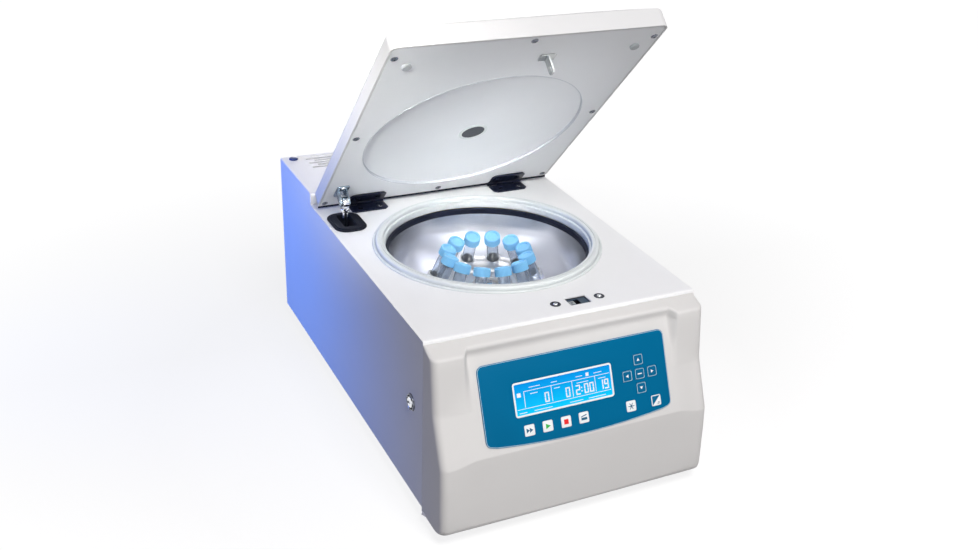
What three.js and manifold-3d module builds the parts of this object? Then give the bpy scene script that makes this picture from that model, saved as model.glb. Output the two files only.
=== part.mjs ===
// Refrigerated bench centrifuge with its lid open, an angle rotor and twelve capped tubes.
// Millimetres, +Z up, +Y to the rear, origin on the bench under the middle of the footprint.
import * as THREE from 'three';
import { mergeVertices } from 'three/addons/utils/BufferGeometryUtils.js';
import Module from 'manifold-3d';

// Driving dimensions
const fasciaReach = 64;
const footHeight = 22;
const rearStep = 18;
const sheet = 1.5;
const deckLip = 7.5;
const seat = 0.3;
const overrun = 20;
const lidOpenAngle = 45.8;

const tube = {
  radius: 8.3,
  length: 100,
  coneLength: 22,
  tipRadius: 2.5,
  capRadius: 11.4,
  capHeight: 12,
  capChamfer: 1.2,
  capAbove: 45,
};

// Ring of stations: caps side by side, tubes leaning outwards as they go down
const ring = {
  stations: 12,
  firstStation: 87.9,
  tilt: 23.5,
  capSpacing: 2.15,
  tipRoom: 10.36,
  lidRoom: 4.93,
  bushWall: 3.2,
  rimMargin: 13.7,
  skirtMargin: 14.99,
  skirtBelow: 7.56,
};
const tilt = THREE.MathUtils.degToRad(ring.tilt);
const tubeBelow = tube.length + tube.capHeight - tube.capAbove;
const capCircle = (tube.capRadius + ring.capSpacing) / Math.sin(Math.PI / ring.stations);

const rotor = {
  mouthCircle: capCircle + tube.capAbove * Math.sin(tilt),
  mouthRise: tubeBelow * Math.cos(tilt) + ring.tipRoom,
  plateDrop: 4,
  bushRadius: tube.radius + ring.bushWall,
  bushHeight: 5,
  rimRound: 4,
  hubRadius: 21,
  webRadius: 42,
  webRun: 20,
  undercut: 26,
  dishRadius: 40,
  dishDrop: 3,
  nutPocketRadius: 19,
  nutPocketDepth: 7,
};
const rimRadius = rotor.mouthCircle + ring.rimMargin;
const skirtRadius = rotor.mouthCircle + tubeBelow * Math.sin(tilt) + ring.skirtMargin;
const skirtDepth = tubeBelow * Math.cos(tilt) + ring.skirtBelow - rotor.plateDrop;

const shaft = {
  radius: 6,
  shoulderRadius: 11,
  shoulderHeight: 5,
  noseRadius: 7.5,
};

const motor = {
  radius: 58,
  height: 62.2,
  flangeRadius: 70,
  flangeThickness: 6,
  nose: 12,
  noseRadius: 17,
  legRadius: 9,
  legHeight: 12,
  legCircle: 58,
  legCount: 3,
  boreDepth: 40,
};

const pan = {
  thickness: 2,
  flange: 16,
  frontGap: 2,
};

const chamber = {
  runningRoom: 23,
  bowlWall: 1.2,
  rimDrop: 9,
  rimWidth: 6.5,
  rimMargin: 9,
  floorRound: 26,
  collarRadius: 20,
  collarHeight: 10,
  frontRoom: 61.5,
  sideRoom: 22,
  hingeRoom: 43,
  serviceRoom: 62.5,
};
const bowlRadius = skirtRadius + chamber.runningRoom;
const openingRadius = bowlRadius + chamber.rimMargin;
const bowlDepth = chamber.collarHeight + shaft.shoulderHeight + rotor.mouthRise
  + tube.capAbove * Math.cos(tilt) + ring.lidRoom;

const compressor = {
  sideMargin: 97,
  drumGap: 11,
  radius: 58,
  height: 132,
  dome: 26,
  domeShare: 0.7,
  seamWidth: 3,
  seamHeight: 5,
  legRadius: 10,
  legHeight: 12,
  legCircle: 58,
  legCount: 3,
  stubRadius: 5,
  stubHeight: 22,
};

const drum = {
  play: 3,
  foam: 16,
  shellWall: 5,
  floorHeight: 10,
  motorOpening: 78,
};
const drumInnerRadius = openingRadius + drum.play;
const drumOuterRadius = drumInnerRadius + drum.foam;

// Planes that the pieces share
const baseZ = footHeight;
const panTopZ = baseZ + pan.thickness;
const motorTopZ = panTopZ + seat + motor.legHeight + motor.height;
const bowlFloorZ = motorTopZ + motor.nose + seat + chamber.bowlWall;
const bowlRimZ = bowlFloorZ + bowlDepth;
const deckZ = bowlRimZ + chamber.rimDrop;
const rearTopZ = deckZ + rearStep;
const rotorMouthZ = bowlFloorZ + rotor.mouthRise + chamber.collarHeight + shaft.shoulderHeight;
const halfWidth = drumOuterRadius + chamber.sideRoom;
const innerHalfWidth = halfWidth - sheet - seat;
const compressorRun = compressor.drumGap + 2 * (compressor.seamWidth + compressor.radius);
const cabinetDepth = chamber.frontRoom + 2 * drumOuterRadius + compressorRun + chamber.serviceRoom;
const frontY = -(cabinetDepth + fasciaReach) / 2;
const cabinetFrontY = frontY + fasciaReach;
const cabinetRearY = cabinetFrontY + cabinetDepth;
const bowlY = cabinetFrontY + chamber.frontRoom + drumOuterRadius;
const stepY = bowlY + drumOuterRadius + chamber.hingeRoom;

const gasket = {
  flangeReach: 12,
  flangeHeight: 3,
  beadReach: 7,
  beadWidth: 10.5,
  beadHeight: 9.2,
  beadRound: 3.2,
  lipWidth: 5.4,
  skirtDepth: 7.5,
};

const coil = {
  pipeRadius: 4,
  turns: 6,
  pitch: 15.5,
  stepsPerTurn: 24,
  sides: 6,
};

const nut = {
  flangeRadius: 16,
  flangeHeight: 3,
  headRadius: 9.5,
  headHeight: 5.5,
  socketRadius: 4,
  socketDepth: 4,
};

const lid = {
  sideInset: 2.8,
  overhang: 23.7,
  height: 24.5,
  crown: 4,
  wall: 3,
  sideRound: 6,
  frontRound: 5,
  rearRound: 9,
  frontCorner: 6,
  rearCorner: 6,
  hingeGap: 22.2,
  hingeRise: 4.8,
  linerThickness: 2.5,
  linerPlay: 0.5,
  dishMargin: 9,
  dishDepth: 5,
  dishWall: 2.5,
};
const hingeY = stepY - lid.hingeGap;
const hingeZ = deckZ + lid.hingeRise;
const lidWidth = 2 * (halfWidth - lid.sideInset);
const lidLength = hingeY - cabinetFrontY + lid.overhang;
const dishRadius = openingRadius + lid.dishMargin;
const dishCentre = hingeY - bowlY;

const port = {
  flangeRadius: 17,
  flangeHeight: 1.4,
  glassRadius: 14,
  rise: 0.6,
};

const hinge = {
  endMargin: 71.2,
  width: 54,
  leafThickness: 2,
  deckLeafReach: 28.8,
  lidLeafReach: 28,
  knuckleRadius: 4.2,
  knuckleShare: 0.46,
  knuckleGap: 0.5,
  pinRadius: 2,
  pocketDepth: 6,
  pocketHeight: 5,
};
const hingeX = lidWidth / 2 - hinge.endMargin;

const lock = {
  centreX: 32,
  setback: 27.5,
  slotWidth: 29,
  slotLength: 20,
  housingWall: 4,
  housingDepth: 44,
  boltSize: 6,
  boltLength: 28,
  hookThickness: 3,
  hookWidth: 13,
  hookDrop: 24,
  hookToe: 3,
  hookFootLength: 22,
  hookFootThickness: 2,
  hookWindow: 7.5,
};
const lockY = cabinetFrontY + lock.setback;
const boltZ = hingeZ - lock.hookDrop + lock.hookToe + lock.hookWindow / 2;

const strut = {
  sideMargin: 28,
  pinReach: 50,
  pinDrop: 17,
  pinRadius: 3,
  cheekThickness: 2.5,
  cheekRadius: 7,
  footLength: 30,
  footWidth: 18,
  footThickness: 2,
  eyeThickness: 8,
  eyeRadius: 6.4,
  eyeSlack: 2.1,
  eyePlay: 0.8,
  eyeNeck: 5,
  anchorSetback: 51.8,
  anchorRise: 23,
  rodRadius: 4,
  cylinderRadius: 10,
  cylinderLength: 140,
  rodInside: 40,
  travel: 41,
  boreRelief: 3,
  boreRadius: 4.4,
  earThickness: 3,
  earRadius: 8,
  boltRadius: 4,
};
const strutX = strut.sideMargin - halfWidth;
const anchorY = hingeY - strut.anchorSetback;
const anchorZ = baseZ + strut.anchorRise;

const boot = {
  width: 46,
  length: 66,
  height: 3.4,
  round: 18,
  slotWidth: 20,
  slotLength: 46,
  centreOffset: 6,
};

const fascia = {
  wall: 3,
  cornerRadius: 10,
  cornerShare: 0.9,
  undercut: 6,
  topDrop: 9,
  browRun: 6,
  edgeReach: 3,
  pillarWidth: 43.5,
  recessDrop: 11,
  bedDrop: 34.6,
  bedTopReach: 20.5,
  bedSlope: 23,
  footMargin: 1.53,
  lipInset: 35.5,
  lipDrop: 16,
  pillarInset: 28,
  pillarBelow: 66,
  ledgeInset: 9.5,
  ledgeBelow: 45,
  bellyInset: 2.5,
  bellyBelow: 17,
  heelRadius: 14,
  cornerSteps: 6,
};
const recessHalfWidth = halfWidth - fascia.pillarWidth;
const bedSlope = THREE.MathUtils.degToRad(fascia.bedSlope);
const bedTopZ = deckZ - fascia.bedDrop;
const bellyReach = fasciaReach - fascia.bellyInset;
const pillarTopZ = deckZ - fascia.lipDrop - fascia.pillarBelow;
const bellyTopZ = pillarTopZ - fascia.ledgeBelow - fascia.bellyBelow;

const panel = {
  margin: 13.5,
  length: 98.5,
  sag: 8.5,
  corner: 5,
  thickness: 1.6,
  windowCentreX: -18.2,
  windowDownShare: 0.5015,
  windowWidth: 135,
  windowLength: 42,
  windowCorner: 2,
  moduleDepth: 12,
};
const panelHalfWidth = recessHalfWidth - panel.margin;
const windowDown = panel.length * panel.windowDownShare;
const bedFootZ = bedTopZ - (panel.length + panel.sag + fascia.footMargin) * Math.cos(bedSlope);

const key = {
  size: 13.4,
  corner: 1.6,
  thickness: 1.1,
  lift: 0.75,
  actionRise: 10.8,
  arrowCentreX: 87.9,
  arrowDownShare: 0.5076,
  arrowPitch: 17.8,
};
const actionRow = panel.length - key.actionRise;
const arrowDown = panel.length * key.arrowDownShare;
const keyPlaces = {
  key_short_spin: [-70.3, actionRow],
  key_start: [-45.9, actionRow],
  key_stop: [-21, actionRow],
  key_lid: [3.4, actionRow],
  key_precool: [70.4, actionRow],
  key_program: [106.7, actionRow],
  key_up: [key.arrowCentreX, arrowDown - key.arrowPitch],
  key_left: [key.arrowCentreX - key.arrowPitch, arrowDown],
  key_set: [key.arrowCentreX, arrowDown],
  key_right: [key.arrowCentreX + key.arrowPitch, arrowDown],
  key_down: [key.arrowCentreX, arrowDown + key.arrowPitch],
};

const foot = {
  topRadius: 17,
  bottomRadius: 14,
  chamfer: 2,
  insetX: 34,
  frontInset: 36,
  rearInset: 38,
};

const rearPanel = {
  recess: 8,
  thickness: 1.5,
  grilleCentreX: 78,
  grilleDrop: 122,
  grilleRadius: 66,
  slotWidth: 6,
  slotPitch: 12,
};
const rearPanelY = cabinetRearY - rearPanel.recess;
const grilleZ = rearTopZ - rearPanel.grilleDrop;

const vent = {
  rows: 6,
  rowPitch: 9,
  slotsPerRow: 5,
  slotLength: 46,
  slotWidth: 2.6,
  slotPitch: 58,
  firstRowSetback: 9,
};

const inlet = {
  sideMargin: 75,
  centreZ: 70,
  flangeWidth: 60,
  flangeHeight: 34,
  flangeThickness: 2.5,
  bodyDepth: 30,
  bodyMargin: 4,
  socketX: 13,
  socketWidth: 24,
  socketHeight: 16,
  socketDepth: 17,
  pinWidth: 2,
  pinHeight: 4,
  pinLength: 14,
  pinPitch: 7,
  pinOffset: 2,
  switchX: -17,
  switchWidth: 14,
  switchHeight: 23,
  rockerProud: 3,
  rockerTilt: 8,
  pivotDepth: 5,
};

const condenser = {
  fanRoom: 40.5,
  width: 150,
  depth: 32,
  headRoom: 51.7,
  fins: 14,
  finGap: 6,
  finDepth: 9,
  armWidth: 8,
  armDepth: 5,
  stubRadius: 17,
  stubDepth: 22,
  axleRadius: 3,
  axleLength: 15,
};

const fan = {
  blades: 7,
  tipGap: 6,
  hubRadius: 18,
  hubDepth: 14,
  bladeThickness: 2,
  bladeChord: 26,
  bladeTwist: 34,
  boreRadius: 3.3,
};
const inletX = inlet.sideMargin - halfWidth;
const compressorX = compressor.sideMargin - halfWidth;
const compressorY = bowlY + drumOuterRadius + compressor.drumGap + compressor.seamWidth + compressor.radius;
const condenserRearY = rearPanelY - condenser.fanRoom;
const condenserHeight = rearTopZ - panTopZ - seat - condenser.headRoom;
const fanRadius = rearPanel.grilleRadius - fan.tipGap;

// Facets of round forms
const fine = 36;
const medium = 16;
const coarse = 10;
const arcSteps = 4;
const cornerSteps = 2;

const wasm = await Module();
wasm.setup();

// Solids, joins and cuts

function solid(geometry) {
  const bare = geometry.clone();
  bare.deleteAttribute('normal');
  bare.deleteAttribute('uv');
  const welded = mergeVertices(bare);
  const corners = [];
  const source = welded.index.array;
  for (let i = 0; i < source.length; i += 3) {
    const [a, b, c] = [source[i], source[i + 1], source[i + 2]];
    if (a !== b && b !== c && c !== a) corners.push(a, b, c);
  }
  const places = welded.attributes.position.array;
  if (signedVolume(places, corners) < 0) corners.reverse();
  const mesh = new wasm.Mesh({
    numProp: 3,
    vertProperties: Float32Array.from(places),
    triVerts: Uint32Array.from(corners),
  });
  return new wasm.Manifold(mesh);
}

function signedVolume(places, corners) {
  const at = (i) => new THREE.Vector3(places[3 * i], places[3 * i + 1], places[3 * i + 2]);
  let total = 0;
  for (let i = 0; i < corners.length; i += 3) {
    total += at(corners[i]).dot(at(corners[i + 1]).cross(at(corners[i + 2])));
  }
  return total;
}

function geometryOf(form) {
  const mesh = form.getMesh();
  const geometry = new THREE.BufferGeometry();
  geometry.setAttribute('position', new THREE.BufferAttribute(mesh.vertProperties, 3));
  geometry.setIndex(new THREE.BufferAttribute(mesh.triVerts, 1));
  return geometry;
}

const join = (first, ...rest) => rest.reduce((whole, next) => whole.add(next), first);
const cut = (first, ...rest) => rest.reduce((whole, next) => whole.subtract(next), first);
const common = (first, ...rest) => rest.reduce((whole, next) => whole.intersect(next), first);

// Block between two corners
function block(x0, x1, y0, y1, z0, z1) {
  const box = new THREE.BoxGeometry(x1 - x0, y1 - y0, z1 - z0);
  box.translate((x0 + x1) / 2, (y0 + y1) / 2, (z0 + z1) / 2);
  return solid(box);
}

// Round solid about a vertical axis from a profile of [radius, height]
function revolve(profile, facets = medium, x = 0, y = 0) {
  const points = profile.map(([radius, height]) => new THREE.Vector2(radius, height));
  const turned = new THREE.LatheGeometry(points, facets);
  turned.rotateX(Math.PI / 2);
  turned.translate(x, y, 0);
  return solid(turned);
}

function column(radius, z0, z1, facets = medium, x = 0, y = 0) {
  return revolve([[0, z0], [radius, z0], [radius, z1], [0, z1]], facets, x, y);
}

// Round bar along X
function barX(radius, x0, x1, y, z, facets = medium) {
  const bar = new THREE.CylinderGeometry(radius, radius, x1 - x0, facets);
  bar.rotateZ(Math.PI / 2);
  bar.translate((x0 + x1) / 2, y, z);
  return solid(bar);
}

// Round bar along Y
function barY(radius, y0, y1, x, z, facets = medium) {
  const bar = new THREE.CylinderGeometry(radius, radius, y1 - y0, facets);
  bar.translate(x, (y0 + y1) / 2, z);
  return solid(bar);
}

const outline = (points) => new THREE.Shape(points.map(([a, b]) => new THREE.Vector2(a, b)));

function extruded(shape, depth, curveSegments = arcSteps) {
  return new THREE.ExtrudeGeometry(shape, { depth, bevelEnabled: false, curveSegments });
}

// Outline of [y, z] drawn out along X
function prismX(shape, x0, x1, curveSegments = arcSteps) {
  const drawn = extruded(shape, x1 - x0, curveSegments);
  drawn.applyMatrix4(new THREE.Matrix4().makeBasis(
    new THREE.Vector3(0, 1, 0), new THREE.Vector3(0, 0, 1), new THREE.Vector3(1, 0, 0)));
  drawn.translate(x0, 0, 0);
  return solid(drawn);
}

// Outline of [x, z] drawn out along Y
function prismY(shape, y0, y1) {
  const drawn = extruded(shape, y1 - y0);
  drawn.applyMatrix4(new THREE.Matrix4().makeBasis(
    new THREE.Vector3(1, 0, 0), new THREE.Vector3(0, 0, 1), new THREE.Vector3(0, -1, 0)));
  drawn.translate(0, y1, 0);
  return solid(drawn);
}

// Outline of [x, y] drawn up along Z
function prismZ(shape, z0, z1, curveSegments = arcSteps) {
  const drawn = extruded(shape, z1 - z0, curveSegments);
  drawn.translate(0, 0, z0);
  return solid(drawn);
}

// Rectangle with its own radius at the low and the high end of its second axis
function roundedRectangle(a0, a1, b0, b1, lowRadius, highRadius = lowRadius) {
  const shape = new THREE.Shape();
  shape.moveTo(a0 + lowRadius, b0);
  shape.lineTo(a1 - lowRadius, b0);
  shape.absarc(a1 - lowRadius, b0 + lowRadius, lowRadius, -Math.PI / 2, 0);
  shape.lineTo(a1, b1 - highRadius);
  shape.absarc(a1 - highRadius, b1 - highRadius, highRadius, 0, Math.PI / 2);
  shape.lineTo(a0 + highRadius, b1);
  shape.absarc(a0 + highRadius, b1 - highRadius, highRadius, Math.PI / 2, Math.PI);
  shape.lineTo(a0, b0 + lowRadius);
  shape.absarc(a0 + lowRadius, b0 + lowRadius, lowRadius, Math.PI, Math.PI * 3 / 2);
  return shape;
}

// Closed skin through rings of equally many points, capped flat at both ends
function loft(rings) {
  const around = rings[0].length;
  const places = rings.flat().flatMap((point) => point.toArray());
  const corners = [];
  for (let level = 0; level + 1 < rings.length; level += 1) {
    for (let step = 0; step < around; step += 1) {
      const low = level * around + step;
      const lowNext = level * around + (step + 1) % around;
      corners.push(low, lowNext, lowNext + around);
      corners.push(low, lowNext + around, low + around);
    }
  }
  const top = (rings.length - 1) * around;
  for (let step = 1; step + 1 < around; step += 1) {
    corners.push(0, step + 1, step);
    corners.push(top, top + step, top + step + 1);
  }
  const skin = new THREE.BufferGeometry();
  skin.setAttribute('position', new THREE.Float32BufferAttribute(places, 3));
  skin.setIndex(corners);
  return solid(skin);
}

// Materials

function paint(color, roughness, metalness) {
  return new THREE.MeshStandardMaterial({ color, roughness, metalness });
}
const whitePowder = paint(0xeef0f2, 0.5, 0);
const warmMoulding = paint(0xece9e4, 0.45, 0);
const linerGrey = paint(0xdfe3e6, 0.5, 0);
const sealGrey = paint(0xc9d0d2, 0.7, 0);
const stainless = paint(0xb9bcc0, 0.25, 1);
const aluminium = paint(0xcfd2d6, 0.3, 1);
const zincSteel = paint(0xa9adb0, 0.4, 1);
const chrome = paint(0xd8dbde, 0.12, 1);
const blackCoat = paint(0x1b1d22, 0.5, 0.2);
const blackRubber = paint(0x17181b, 0.85, 0);
const foamYellow = paint(0xd9c58a, 0.9, 0);
const copper = paint(0xb8724a, 0.35, 1);
const overlayTeal = paint(0x006b96, 0.4, 0);
const displayBlue = paint(0x1f9be8, 0.15, 0);
const keyWhite = paint(0xf6f7f8, 0.5, 0);
const keyTeal = paint(0x0a6c95, 0.4, 0);
const tubeBlue = paint(0x69b4f0, 0.4, 0);
const smokedGlass = paint(0x6f777c, 0.1, 0);
const blackPlastic = paint(0x202226, 0.5, 0);

function piece(name, form, material) {
  const mesh = new THREE.Mesh(geometryOf(form), material);
  mesh.name = name;
  return mesh;
}

// Cabinet

function cabinetShell() {
  const side = outline([
    [cabinetFrontY, baseZ], [cabinetRearY, baseZ], [cabinetRearY, rearTopZ],
    [stepY + sheet, rearTopZ], [stepY, rearTopZ - sheet], [stepY, deckZ],
    [cabinetFrontY + sheet, deckZ], [cabinetFrontY, deckZ - sheet],
  ]);
  const hollow = outline([
    [cabinetFrontY - overrun, baseZ - overrun], [cabinetRearY + overrun, baseZ - overrun],
    [cabinetRearY + overrun, rearTopZ - sheet], [stepY + sheet, rearTopZ - sheet],
    [stepY + sheet, deckZ - sheet], [cabinetFrontY + sheet, deckZ - sheet],
    [cabinetFrontY + sheet, deckZ - deckLip], [cabinetFrontY - overrun, deckZ - deckLip],
  ]);
  const bowlOpening = column(openingRadius, deckZ - overrun, deckZ + overrun, fine, 0, bowlY);
  const lockSlot = prismZ(roundedRectangle(
    lock.centreX - lock.slotWidth / 2, lock.centreX + lock.slotWidth / 2,
    lockY - lock.slotLength / 2, lockY + lock.slotLength / 2, sheet), deckZ - overrun, deckZ + overrun);
  const bootCentreY = hingeY - strut.pinReach - boot.centreOffset;
  const strutSlot = block(
    strutX - boot.slotWidth / 2, strutX + boot.slotWidth / 2,
    bootCentreY - boot.slotLength / 2, bootCentreY + boot.slotLength / 2, deckZ - overrun, deckZ + overrun);
  const folded = cut(
    prismX(side, -halfWidth, halfWidth),
    prismX(hollow, sheet - halfWidth, halfWidth - sheet),
    bowlOpening, lockSlot, strutSlot);
  return cut(folded, ...topVents());
}

function topVents() {
  const slots = [];
  for (let row = 0; row < vent.rows; row += 1) {
    const y = cabinetRearY - vent.firstRowSetback - row * vent.rowPitch;
    const shift = (row % 2 === 0 ? 1 : -1) * vent.slotWidth;
    for (let step = 0; step < vent.slotsPerRow; step += 1) {
      const x = (step - (vent.slotsPerRow - 1) / 2) * vent.slotPitch + shift;
      slots.push(block(
        x - vent.slotLength / 2, x + vent.slotLength / 2,
        y - vent.slotWidth / 2, y + vent.slotWidth / 2, rearTopZ - overrun / 2, rearTopZ + overrun));
    }
  }
  return slots;
}

function basePan() {
  const panFrontY = cabinetFrontY + pan.frontGap;
  const panRearY = rearPanelY - rearPanel.thickness - seat;
  const tray = cut(
    block(-innerHalfWidth, innerHalfWidth, panFrontY, panRearY, baseZ, baseZ + pan.flange),
    block(pan.thickness - innerHalfWidth, innerHalfWidth - pan.thickness,
      panFrontY + pan.thickness, panRearY - pan.thickness, panTopZ, baseZ + overrun));
  const gap = strut.eyeThickness / 2 + seat;
  const earOutline = outline([
    [anchorY - strut.earRadius, panTopZ - sheet],
    [anchorY + strut.earRadius, panTopZ - sheet],
    [anchorY + strut.earRadius, anchorZ],
    [anchorY + strut.earRadius / 2, anchorZ + strut.earRadius],
    [anchorY - strut.earRadius / 2, anchorZ + strut.earRadius],
    [anchorY - strut.earRadius, anchorZ],
  ]);
  const ears = [-1, 1].map((hand) => {
    const inner = strutX + hand * gap;
    const outer = strutX + hand * (gap + strut.earThickness);
    return prismX(earOutline, Math.min(inner, outer), Math.max(inner, outer));
  });
  const pivot = barX(strut.pinRadius, strutX - gap - sheet, strutX + gap + sheet,
    anchorY, anchorZ, coarse);
  return join(tray, ...ears, pivot);
}

function rearPlate() {
  const back = rearPanelY;
  const plate = block(-innerHalfWidth, innerHalfWidth, back - rearPanel.thickness, back,
    baseZ, rearTopZ - sheet - seat);
  const slots = [];
  const reach = Math.floor(rearPanel.grilleRadius / rearPanel.slotPitch);
  for (let step = -reach; step <= reach; step += 1) {
    const offset = step * rearPanel.slotPitch;
    const half = Math.sqrt(rearPanel.grilleRadius ** 2 - offset ** 2);
    const x = rearPanel.grilleCentreX + offset;
    slots.push(block(x - rearPanel.slotWidth / 2, x + rearPanel.slotWidth / 2,
      back - overrun, back + overrun, grilleZ - half, grilleZ + half));
  }
  const inletOpening = block(
    inletX - inlet.flangeWidth / 2 + inlet.bodyMargin - seat,
    inletX + inlet.flangeWidth / 2 - inlet.bodyMargin + seat,
    back - overrun, back + overrun,
    inlet.centreZ - inlet.flangeHeight / 2 + inlet.bodyMargin - seat,
    inlet.centreZ + inlet.flangeHeight / 2 - inlet.bodyMargin + seat);
  return cut(plate, inletOpening, ...slots);
}

function rubberFoot(x, y) {
  const top = baseZ - seat;
  return revolve([
    [0, 0], [foot.bottomRadius - foot.chamfer, 0], [foot.bottomRadius, foot.chamfer],
    [foot.topRadius, top - foot.chamfer], [foot.topRadius - foot.chamfer, top], [0, top],
  ], medium, x, y);
}

// Front moulding

// Plan section of the moulding at one height, its back on the given plane
function fasciaRing(reach, height, backY, halfSpan) {
  const radius = Math.min(fascia.cornerRadius, reach * fascia.cornerShare);
  const front = cabinetFrontY - reach;
  const ring = [new THREE.Vector3(-halfSpan, backY, height)];
  for (const hand of [-1, 1]) {
    for (let step = 0; step <= fascia.cornerSteps; step += 1) {
      const turn = (hand < 0 ? step : fascia.cornerSteps - step) / fascia.cornerSteps * Math.PI / 2;
      ring.push(new THREE.Vector3(
        hand * (halfSpan - radius + radius * Math.cos(turn)),
        front + radius - radius * Math.sin(turn),
        height));
    }
  }
  ring.push(new THREE.Vector3(halfSpan, backY, height));
  return ring;
}

// Side line of the moulding as [reach, height], from its underside to its top
function fasciaStations() {
  const stations = [];
  const heelX = fasciaReach - fascia.heelRadius;
  const heelZ = baseZ - fascia.undercut + fascia.heelRadius;
  for (let step = 0; step <= arcSteps; step += 1) {
    const turn = step / arcSteps * Math.PI / 2;
    stations.push([
      heelX + fascia.heelRadius * Math.sin(turn),
      heelZ - fascia.heelRadius * Math.cos(turn),
    ]);
  }
  stations.push([bellyReach, bellyTopZ]);
  stations.push([fasciaReach - fascia.ledgeInset, pillarTopZ - fascia.ledgeBelow]);
  stations.push([fasciaReach - fascia.pillarInset, pillarTopZ]);
  const lipReach = fasciaReach - fascia.lipInset;
  const browRise = fascia.lipDrop - fascia.topDrop;
  for (let step = 0; step < arcSteps; step += 1) {
    const turn = step / arcSteps * Math.PI / 2;
    stations.push([
      lipReach - fascia.browRun * (1 - Math.cos(turn)),
      deckZ - fascia.lipDrop + browRise * Math.sin(turn),
    ]);
  }
  stations.push([fascia.edgeReach, deckZ - fascia.topDrop / 2]);
  return stations;
}

// Reach of the sloping bed at a height
function bedReachAt(z) {
  return fascia.bedTopReach + (bedTopZ - z) * Math.tan(bedSlope);
}

// The same side line one wall further in
function insetStations(stations, wall) {
  return stations.map(([reach, height], i) => {
    const [r0, h0] = stations[Math.max(i - 1, 0)];
    const [r1, h1] = stations[Math.min(i + 1, stations.length - 1)];
    const run = Math.hypot(r1 - r0, h1 - h0);
    return [reach - wall * (h1 - h0) / run, height + wall * (r1 - r0) / run];
  }).filter(([reach]) => reach > wall);
}

function frontFascia() {
  const backY = cabinetFrontY - seat;
  const stations = fasciaStations();
  const body = loft(stations.map(([reach, height]) => fasciaRing(reach, height, backY, halfWidth)));
  const hollow = loft(insetStations(stations, fascia.wall)
    .map(([reach, height]) => fasciaRing(reach, height, cabinetFrontY + overrun, halfWidth - fascia.wall)));
  const far = cabinetFrontY - fasciaReach - overrun;
  const recessTopZ = deckZ - fascia.recessDrop;
  const bellyMiddleZ = (baseZ + bellyTopZ) / 2;
  const bedFace = (shift, grow) => outline([
    [cabinetFrontY - bedReachAt(recessTopZ + grow) + shift, recessTopZ + grow],
    [cabinetFrontY - bedReachAt(bedFootZ - grow) + shift, bedFootZ - grow],
    [far, bedFootZ - grow],
    [far, recessTopZ + grow],
  ]);
  const recess = prismX(bedFace(0, 0), -recessHalfWidth, recessHalfWidth);
  const bed = prismX(outline([
    [backY, bedTopZ],
    [cabinetFrontY - bedReachAt(bedTopZ), bedTopZ],
    [cabinetFrontY - bedReachAt(bedFootZ), bedFootZ],
    [cabinetFrontY - bellyReach, bellyMiddleZ],
    [backY, bellyMiddleZ],
  ]), -recessHalfWidth, recessHalfWidth);
  const backing = prismX(bedFace(fascia.wall / Math.cos(bedSlope), fascia.wall),
    -recessHalfWidth - fascia.wall, recessHalfWidth + fascia.wall);
  const shell = cut(join(body, bed), recess, cut(hollow, backing));
  const window = onBed(prismZ(windowOutline(seat), -overrun, overrun, cornerSteps));
  return cut(shell, window);
}

// Frame of the bed: x across, y up the slope from the overlay's top edge, z outwards
function bedMatrix() {
  const across = new THREE.Vector3(1, 0, 0);
  const upSlope = new THREE.Vector3(0, Math.sin(bedSlope), Math.cos(bedSlope));
  const outward = new THREE.Vector3().crossVectors(across, upSlope);
  return new THREE.Matrix4().makeBasis(across, upSlope, outward)
    .setPosition(0, cabinetFrontY - fascia.bedTopReach, bedTopZ);
}

function onBed(form) {
  const geometry = geometryOf(form);
  geometry.applyMatrix4(bedMatrix());
  return solid(geometry);
}

// Overlay outline with its lower edge bowed downwards
function overlayOutline() {
  const half = panelHalfWidth;
  const low = panel.corner - panel.length;
  const bowRadius = (half ** 2 + panel.sag ** 2) / (2 * panel.sag);
  const bowHalfAngle = Math.asin((half - panel.corner) / bowRadius);
  const bowCentre = bowRadius - panel.length - panel.sag;
  const shape = new THREE.Shape();
  shape.moveTo(half, -panel.corner);
  shape.absarc(half - panel.corner, -panel.corner, panel.corner, 0, Math.PI / 2);
  shape.lineTo(panel.corner - half, 0);
  shape.absarc(panel.corner - half, -panel.corner, panel.corner, Math.PI / 2, Math.PI);
  shape.lineTo(-half, low);
  shape.absarc(panel.corner - half, low, panel.corner, Math.PI, Math.PI * 3 / 2 - bowHalfAngle);
  const bowSteps = medium / 2;
  for (let step = 1; step < bowSteps; step += 1) {
    const turn = bowHalfAngle * (2 * step / bowSteps - 1);
    shape.lineTo(bowRadius * Math.sin(turn), bowCentre - bowRadius * Math.cos(turn));
  }
  shape.absarc(half - panel.corner, low, panel.corner, bowHalfAngle - Math.PI / 2, 0);
  return shape;
}

// Square round a place given across the bed and down it
function squareAt([x, down], size, corner) {
  return roundedRectangle(x - size / 2, x + size / 2, -down - size / 2, -down + size / 2, corner);
}

// Outline of the display's window, grown by a play
function windowOutline(play) {
  return roundedRectangle(
    panel.windowCentreX - panel.windowWidth / 2 - play, panel.windowCentreX + panel.windowWidth / 2 + play,
    -windowDown - panel.windowLength / 2 - play,
    -windowDown + panel.windowLength / 2 + play, panel.windowCorner);
}

function controlOverlay() {
  const sheetForm = prismZ(overlayOutline(), seat, panel.thickness);
  const openings = Object.values(keyPlaces)
    .map((place) => squareAt(place, key.size + 2 * seat, key.corner))
    .map((square) => prismZ(square, -overrun, overrun, cornerSteps));
  return cut(sheetForm, prismZ(windowOutline(seat), -overrun, overrun, cornerSteps), ...openings);
}

function displayModule() {
  return prismZ(windowOutline(0), panel.thickness - panel.moduleDepth, panel.thickness, cornerSteps);
}

function keyCap(place) {
  return prismZ(squareAt(place, key.size, key.corner), key.lift, key.lift + key.thickness, cornerSteps);
}

// Chamber

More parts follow.
